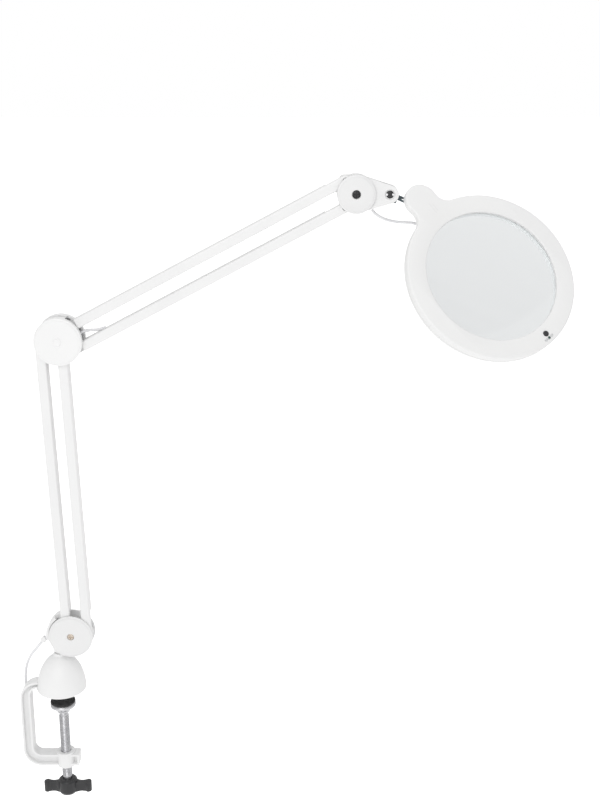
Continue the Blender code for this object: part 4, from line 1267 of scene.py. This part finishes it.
def make_top_shell():
    button = on_head("switch_button")
    light = on_head("indicator_light")
    seat = 64.3
    steps = ((-6.5, seat), (-2.6, seat), (-2.6, APERTURE))
    levels = [(z, [head_outline(0), head_ring(radius)]) for z, radius in steps]
    inner_edge = 0.7
    for drop, inset in round_over(1.7, 7):
        hole = APERTURE + inner_edge * max(0.0, 1 - drop / 0.7) ** 2
        levels.append((-drop, [head_outline(inset), head_ring(hole)]))
    obj = blank(layered(levels))
    cuts = [
        moved(cylinder(BUTTON_RADIUS + 0.25, -9, 2, 48), *button),
        moved(cylinder(LIGHT_RADIUS + 0.2, -9, 2, 32), *light),
        cylinder(2.5, -9, -1.5, 32),
    ]
    cuts += [moved(cylinder(1.4, -9, -2.5, 24), LENS_OFFSET + x, y) for x, y in SCREW_SPOTS]
    for shape in cuts:
        combine(obj, shape, "DIFFERENCE")
    finish_node("head_top_shell", "moulded", obj, shell, "head")

    r = BUTTON_RADIUS
    cap = [(0, -5.0, 0), (r, -5.0, 0.2), (r, 0.75, 0.5), (1.2, 1.0, 0.8), (0, 0.8, 0)]
    obj = solid(moved(lathe(fillet_profile(cap, 5), 64), *button))
    finish_node("switch_button", "cap", obj, black, "button")
    r = LIGHT_RADIUS
    pipe = fillet_profile([(0, -6.2, 0), (r, -6.2, 0.1), (r, 0.05, 0.3), (0, 0.2, 0)], 4)
    obj = solid(moved(lathe(pipe, 32), *light))
    finish_node("indicator_light", "pipe", obj, green, "head")
    x, y = button
    obj = solid(box((x - 3.2, y - 3.2, -8.2), (x + 3.2, y + 3.2, -6.8)), soft=0.15, segments=2)
    finish_node("switch_body", "case", obj, black, "head")


def make_bottom_shell():
    rim = HEAD_RADIUS
    corners = [(4.5, -6.8, 0), (0, -6.8, 0), (0, -9.0, 3.0), (1.3, -12.5, 3.0), (4.4, -13.5, 1.0)]
    corners += [(6.1, -13.5, 0.4), (6.5, -13.1, 0.2), (6.5, -10.3, 0), (4.5, -10.3, 0)]
    corners = [(rim - inset, z, rounding) for inset, z, rounding in corners + corners[:1]]
    obj = blank(lathe(fillet_profile(corners, 7)[:-1], RING_STEPS, closed=True))
    for x, y in SCREW_SPOTS:
        stepped = [(0, -15), (1.9, -15), (1.9, -11.5), (1.3, -11.5), (1.3, -5), (0, -5)]
        combine(obj, moved(lathe(stepped, 32), x, y), "DIFFERENCE")
    slide(obj, LENS_OFFSET)
    finish_node("head_bottom_shell", "moulded", obj, shell, "head")
    for i, (x, y) in enumerate(SCREW_SPOTS):
        profile = [(0, -12.7, 0), (1.2, -12.75, 0.4), (1.6, -12.3, 0.2), (1.6, -11.7, 0)]
        profile += [(1.1, -11.7, 0), (1.1, -3.6, 0.2), (0, -3.2, 0)]
        recess = [box((-a, -b, -14), (a, b, -12.3)) for a, b in ((1.0, 0.22), (0.22, 1.0))]
        obj = solid(lathe(fillet_profile(profile, 3), 32), cut=recess)
        slide(obj, LENS_OFFSET + x, y)
        name = "shell_screw_" + str(i + 1)
        finish_node(name, "steel", obj, steel, "head")


def make_lens():
    rings = 16
    radius = 63.5
    sag = 4.0
    curve = [(radius * i / rings, sag * (1 - (i / rings) ** 2)) for i in range(rings)]
    profile = [(r, -6.0 - bulge) for r, bulge in curve]
    profile += [(radius - 0.25, -6.0), (radius, -5.8), (radius, -3.2), (radius - 0.25, -3.0)]
    profile += [(r, -3.0 + bulge) for r, bulge in reversed(curve)]
    obj = solid(moved(lathe(profile, 160), x=LENS_OFFSET))
    finish_node("lens", "ground", obj, glass, "head")


def ring_piece(node, corners, look):
    obj = solid(lathe(fillet_profile(corners + corners[:1], 4)[:-1], 160, closed=True))
    slide(obj, LENS_OFFSET)
    finish_node(node, "ring", obj, look, "head")


def make_head_inside():
    # The retainer's material glows a little as painted light.
    retainer = [(60.5, -13.2, 0), (60.9, -13.5, 0.3), (64.0, -13.5, 0.4), (64.4, -13.1, 0.3)]
    retainer += [(64.4, -6.9, 0.3), (63.6, -6.4, 0.3), (60.9, -6.9, 0.3), (60.5, -7.6, 0)]
    ring_piece("lens_retainer", retainer, seat)
    # The diffuser's material glows as painted light.
    diffuser = [(64.8, -13.0, 0), (65.0, -13.1, 0), (70.5, -13.1, 0.1), (70.7, -12.9, 0)]
    diffuser += [(70.7, -11.9, 0), (64.8, -11.9, 0)]
    ring_piece("light_diffuser", diffuser, frost_painted_glow)
    board = [(65.0, -9.9, 0), (72.6, -9.9, 0), (72.6, -8.6, 0), (65.0, -8.6, 0)]
    ring_piece("led_board", board, mask)
    chip = box((66.2, -1.4, -10.75), (69.4, 1.4, -9.95))
    window = box((66.7, -0.95, -10.95), (68.9, 0.95, -10.8))
    kinds = (("light_chips", chip, mask), ("light_chip_windows", window, phosphor))
    for name, shape, look in kinds:
        around = [
            moved(turned(shape, 360 * i / LIGHT_CHIPS, AXIS_Z), x=LENS_OFFSET)
            for i in range(LIGHT_CHIPS)
        ]
        finish(name, blank(joined(*around)), look, "head")


def make_marks():
    """Generic tick marks beside the switch, and two short moulded ridges on the lobe, coloured
    darker than the shell as painted shade.
    """
    x, y = on_head("switch_button")
    x += 4.6
    ticks = []
    for i in range(9):
        across = y - 5.6 + 1.2 * i
        if abs(across + 0.25 - y) > 1.5:
            end = x + 0.7 + 0.6 * (i % 2)
            ticks.append(box((x - 1.2, across, -0.02), (end, across + 0.6, 0.05)))
    finish("switch_ticks", blank(joined(*ticks)), mark, "head")
    ridges = []
    for i, half in enumerate((5.2, 3.4)):
        bar = turned(box((-half, -0.2, -0.05), (half, 0.2, 0.1)), -4, AXIS_Z)
        ridges.append(moved(bar, x=12.0 + i, y=1.6 + 2.6 * i))
    finish("lobe_ridges", blank(joined(*ridges)), ridge_painted_shade, "head")


# ---------------------------------------------------------------- cables

CABLE_RADIUS = 1.35
CABLE_DROP = (-38.9, 11.6)


def make_blended_cable(node, points, at):
    """A cable run drawn in the frame given by at, with that place baked into its mesh; it rides on
    no body.
    """
    obj = blank(tube(smooth_path(points), CABLE_RADIUS))
    finish_node(node, "run", obj, cable, None, at=at)
    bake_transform(obj)


def make_cables():
    drop = [(-12.6, 0.0, 55.9), (-14.8, 0.0, 53.4), (-17.6, 0.0, 50.2), (-23.6, 2.0, 42.1)]
    drop += [(-29.9, 5.0, 33.4), (-34.8, 8.2, 23.0), (-37.8, 10.6, 11.0)]
    drop += [(*CABLE_DROP, -6.0), (*CABLE_DROP, -62.0)]
    obj = blank(tube(smooth_path(drop), CABLE_RADIUS))
    finish_node("cable_base", "run", obj, cable, "clamp")
    corners = [(0, -76.0, 0), (3.3, -76.0, 0.5), (4.0, -75.0, 0.8), (4.0, -67.5, 0.5)]
    corners += [(3.2, -66.5, 0.5), (2.6, -62.6, 0.5), (0, -62.3, 0)]
    x, y = CABLE_DROP
    socket = moved(lathe(fillet_profile(corners, 4), 48), x, y)
    obj = solid(socket, cut=[moved(cylinder(1.1, -80, -70, 24), x, y)])
    finish_node("cable_connector", "moulded", obj, black, "clamp")

    bridge = [(14.0, -3.0, 1.5), (20.6, -1.5, 7.2), (27.5, 0.0, 8.8), (34.0, 0.0, 9.2)]
    bridge += [(39.0, 0.0, 10.4), (42.5, 0.0, 11.6)]
    make_blended_cable("cable_elbow", bridge, AT_ELBOW)

    loop = [(14.4, 4.0, -14.9), (19.0, 4.6, -19.4), (26.0, 6.0, -23.2), (35.5, 8.0, -25.8)]
    loop += [(44.5, 8.8, -26.6), (51.5, 7.2, -27.0), (57.3, 2.4, -28.6)]
    loop += [(60.0, -3.0, -29.6), (60.5, -7.6, -28.0)]
    make_blended_cable("cable_head", loop, AT_HEAD_KNUCKLE)


# ---------------------------------------------------------------- studio


def aim(obj, target):
    way = Vector(target) - obj.location
    obj.rotation_euler = way.to_track_quat("-Z", "Y").to_euler()


def area_light(name, spot, target, size, power):
    data = bpy.data.lights.new(name, "AREA")
    data.shape = "RECTANGLE"
    data.size, data.size_y = size
    data.energy = power
    obj = add_object(name, data)
    obj.location = spot
    aim(obj, target)


WORLD_LIGHT = 0.70
KEY_LIGHT = 15.5
TOP_LIGHT = 8.0
FLOOR_HALF = 14.0
FLOOR_LIFT = 0.28  # light the floor gives off, so that it stays as pale as the backdrop
FLOOR_LIFT_SEEN = 0.7
SCREW_TRAVEL_ROOM = 0.06  # the clamp screw runs down by less, so the knob stays above the floor


def make_studio():
    low = cad_low[2] - SCREW_TRAVEL_ROOM
    mesh = bpy.data.meshes.new("floor")
    ends = ((-1, -1), (1, -1), (1, 1), (-1, 1))
    corners = [(x * FLOOR_HALF, y * FLOOR_HALF, low) for x, y in ends]
    mesh.from_pydata(corners, [], [(0, 1, 2, 3)])
    floor = add_object("floor", mesh)
    look = surface(
        "pale_floor", grey(0.9), grey(0.88), 0.8, patch=3, grain=80, bump=0.01
    )
    floor_nodes, floor_links = look.node_tree.nodes, look.node_tree.links
    seen_by_camera = floor_nodes.new("ShaderNodeLightPath").outputs["Is Camera Ray"]
    lift = ramp(floor_nodes, floor_links, seen_by_camera, FLOOR_LIFT, FLOOR_LIFT_SEEN, 0.0, 1.0)
    floor_links.new(lift, floor_nodes["Principled BSDF"].inputs["Emission Strength"])
    floor.data.materials.append(look)

    world = bpy.data.worlds.new("studio")
    bpy.context.scene.world = world
    world.use_nodes = True
    nodes = world.node_tree.nodes
    links = world.node_tree.links
    back = nodes["Background"]
    set_inputs(back, {"Color": (1, 1, 1, 1), "Strength": WORLD_LIGHT})
    seen = nodes.new("ShaderNodeBackground")
    set_inputs(seen, {"Color": (1, 1, 1, 1), "Strength": 1.0})
    path = nodes.new("ShaderNodeLightPath")
    # Seen directly or through the lens, the backdrop is as pale as the floor.
    in_view = nodes.new("ShaderNodeMath")
    in_view.operation = "MAXIMUM"
    links.new(path.outputs["Is Camera Ray"], in_view.inputs[0])
    links.new(path.outputs["Is Transmission Ray"], in_view.inputs[1])
    choice = nodes.new("ShaderNodeMixShader")
    links.new(in_view.outputs[0], choice.inputs["Fac"])
    links.new(back.outputs[0], choice.inputs[1])
    links.new(seen.outputs[0], choice.inputs[2])
    links.new(choice.outputs[0], nodes["World Output"].inputs["Surface"])

    centre = (0.2, 0, 0.3)
    area_light("key", (-0.25, -2.1, 1.5), centre, (1.6, 1.6), KEY_LIGHT)
    area_light("top", (0.3, 0.2, 2.2), centre, (2.0, 2.0), TOP_LIGHT)
    bpy.context.scene.view_settings.view_transform = "Standard"


# The camera stands 1065 mm in front of the arms' middle plane and looks 16.2 degrees down.
CAMERA_SPOT = base_centre + Vector((0.2231, -1.065, 0.547))
CAMERA_PITCH = 16.2
CAMERA_LENS = 54.0  # on a 36 mm tall frame


def make_camera():
    data = bpy.data.cameras.new("camera")
    data.lens = CAMERA_LENS
    data.sensor_fit = "VERTICAL"
    data.sensor_height = 36.0
    camera = add_object("camera", data)
    camera.location = CAMERA_SPOT
    camera.rotation_euler = (math.radians(90 - CAMERA_PITCH), 0, 0)
    bpy.context.scene.camera = camera


make_clamp()
make_base_cover()
make_clamp_screw()
make_base_knuckle()
make_elbow()
make_head_knuckle()
make_arms()
make_link()
make_top_shell()
make_bottom_shell()
make_lens()
make_head_inside()
make_marks()
make_cables()
make_studio()
make_camera()
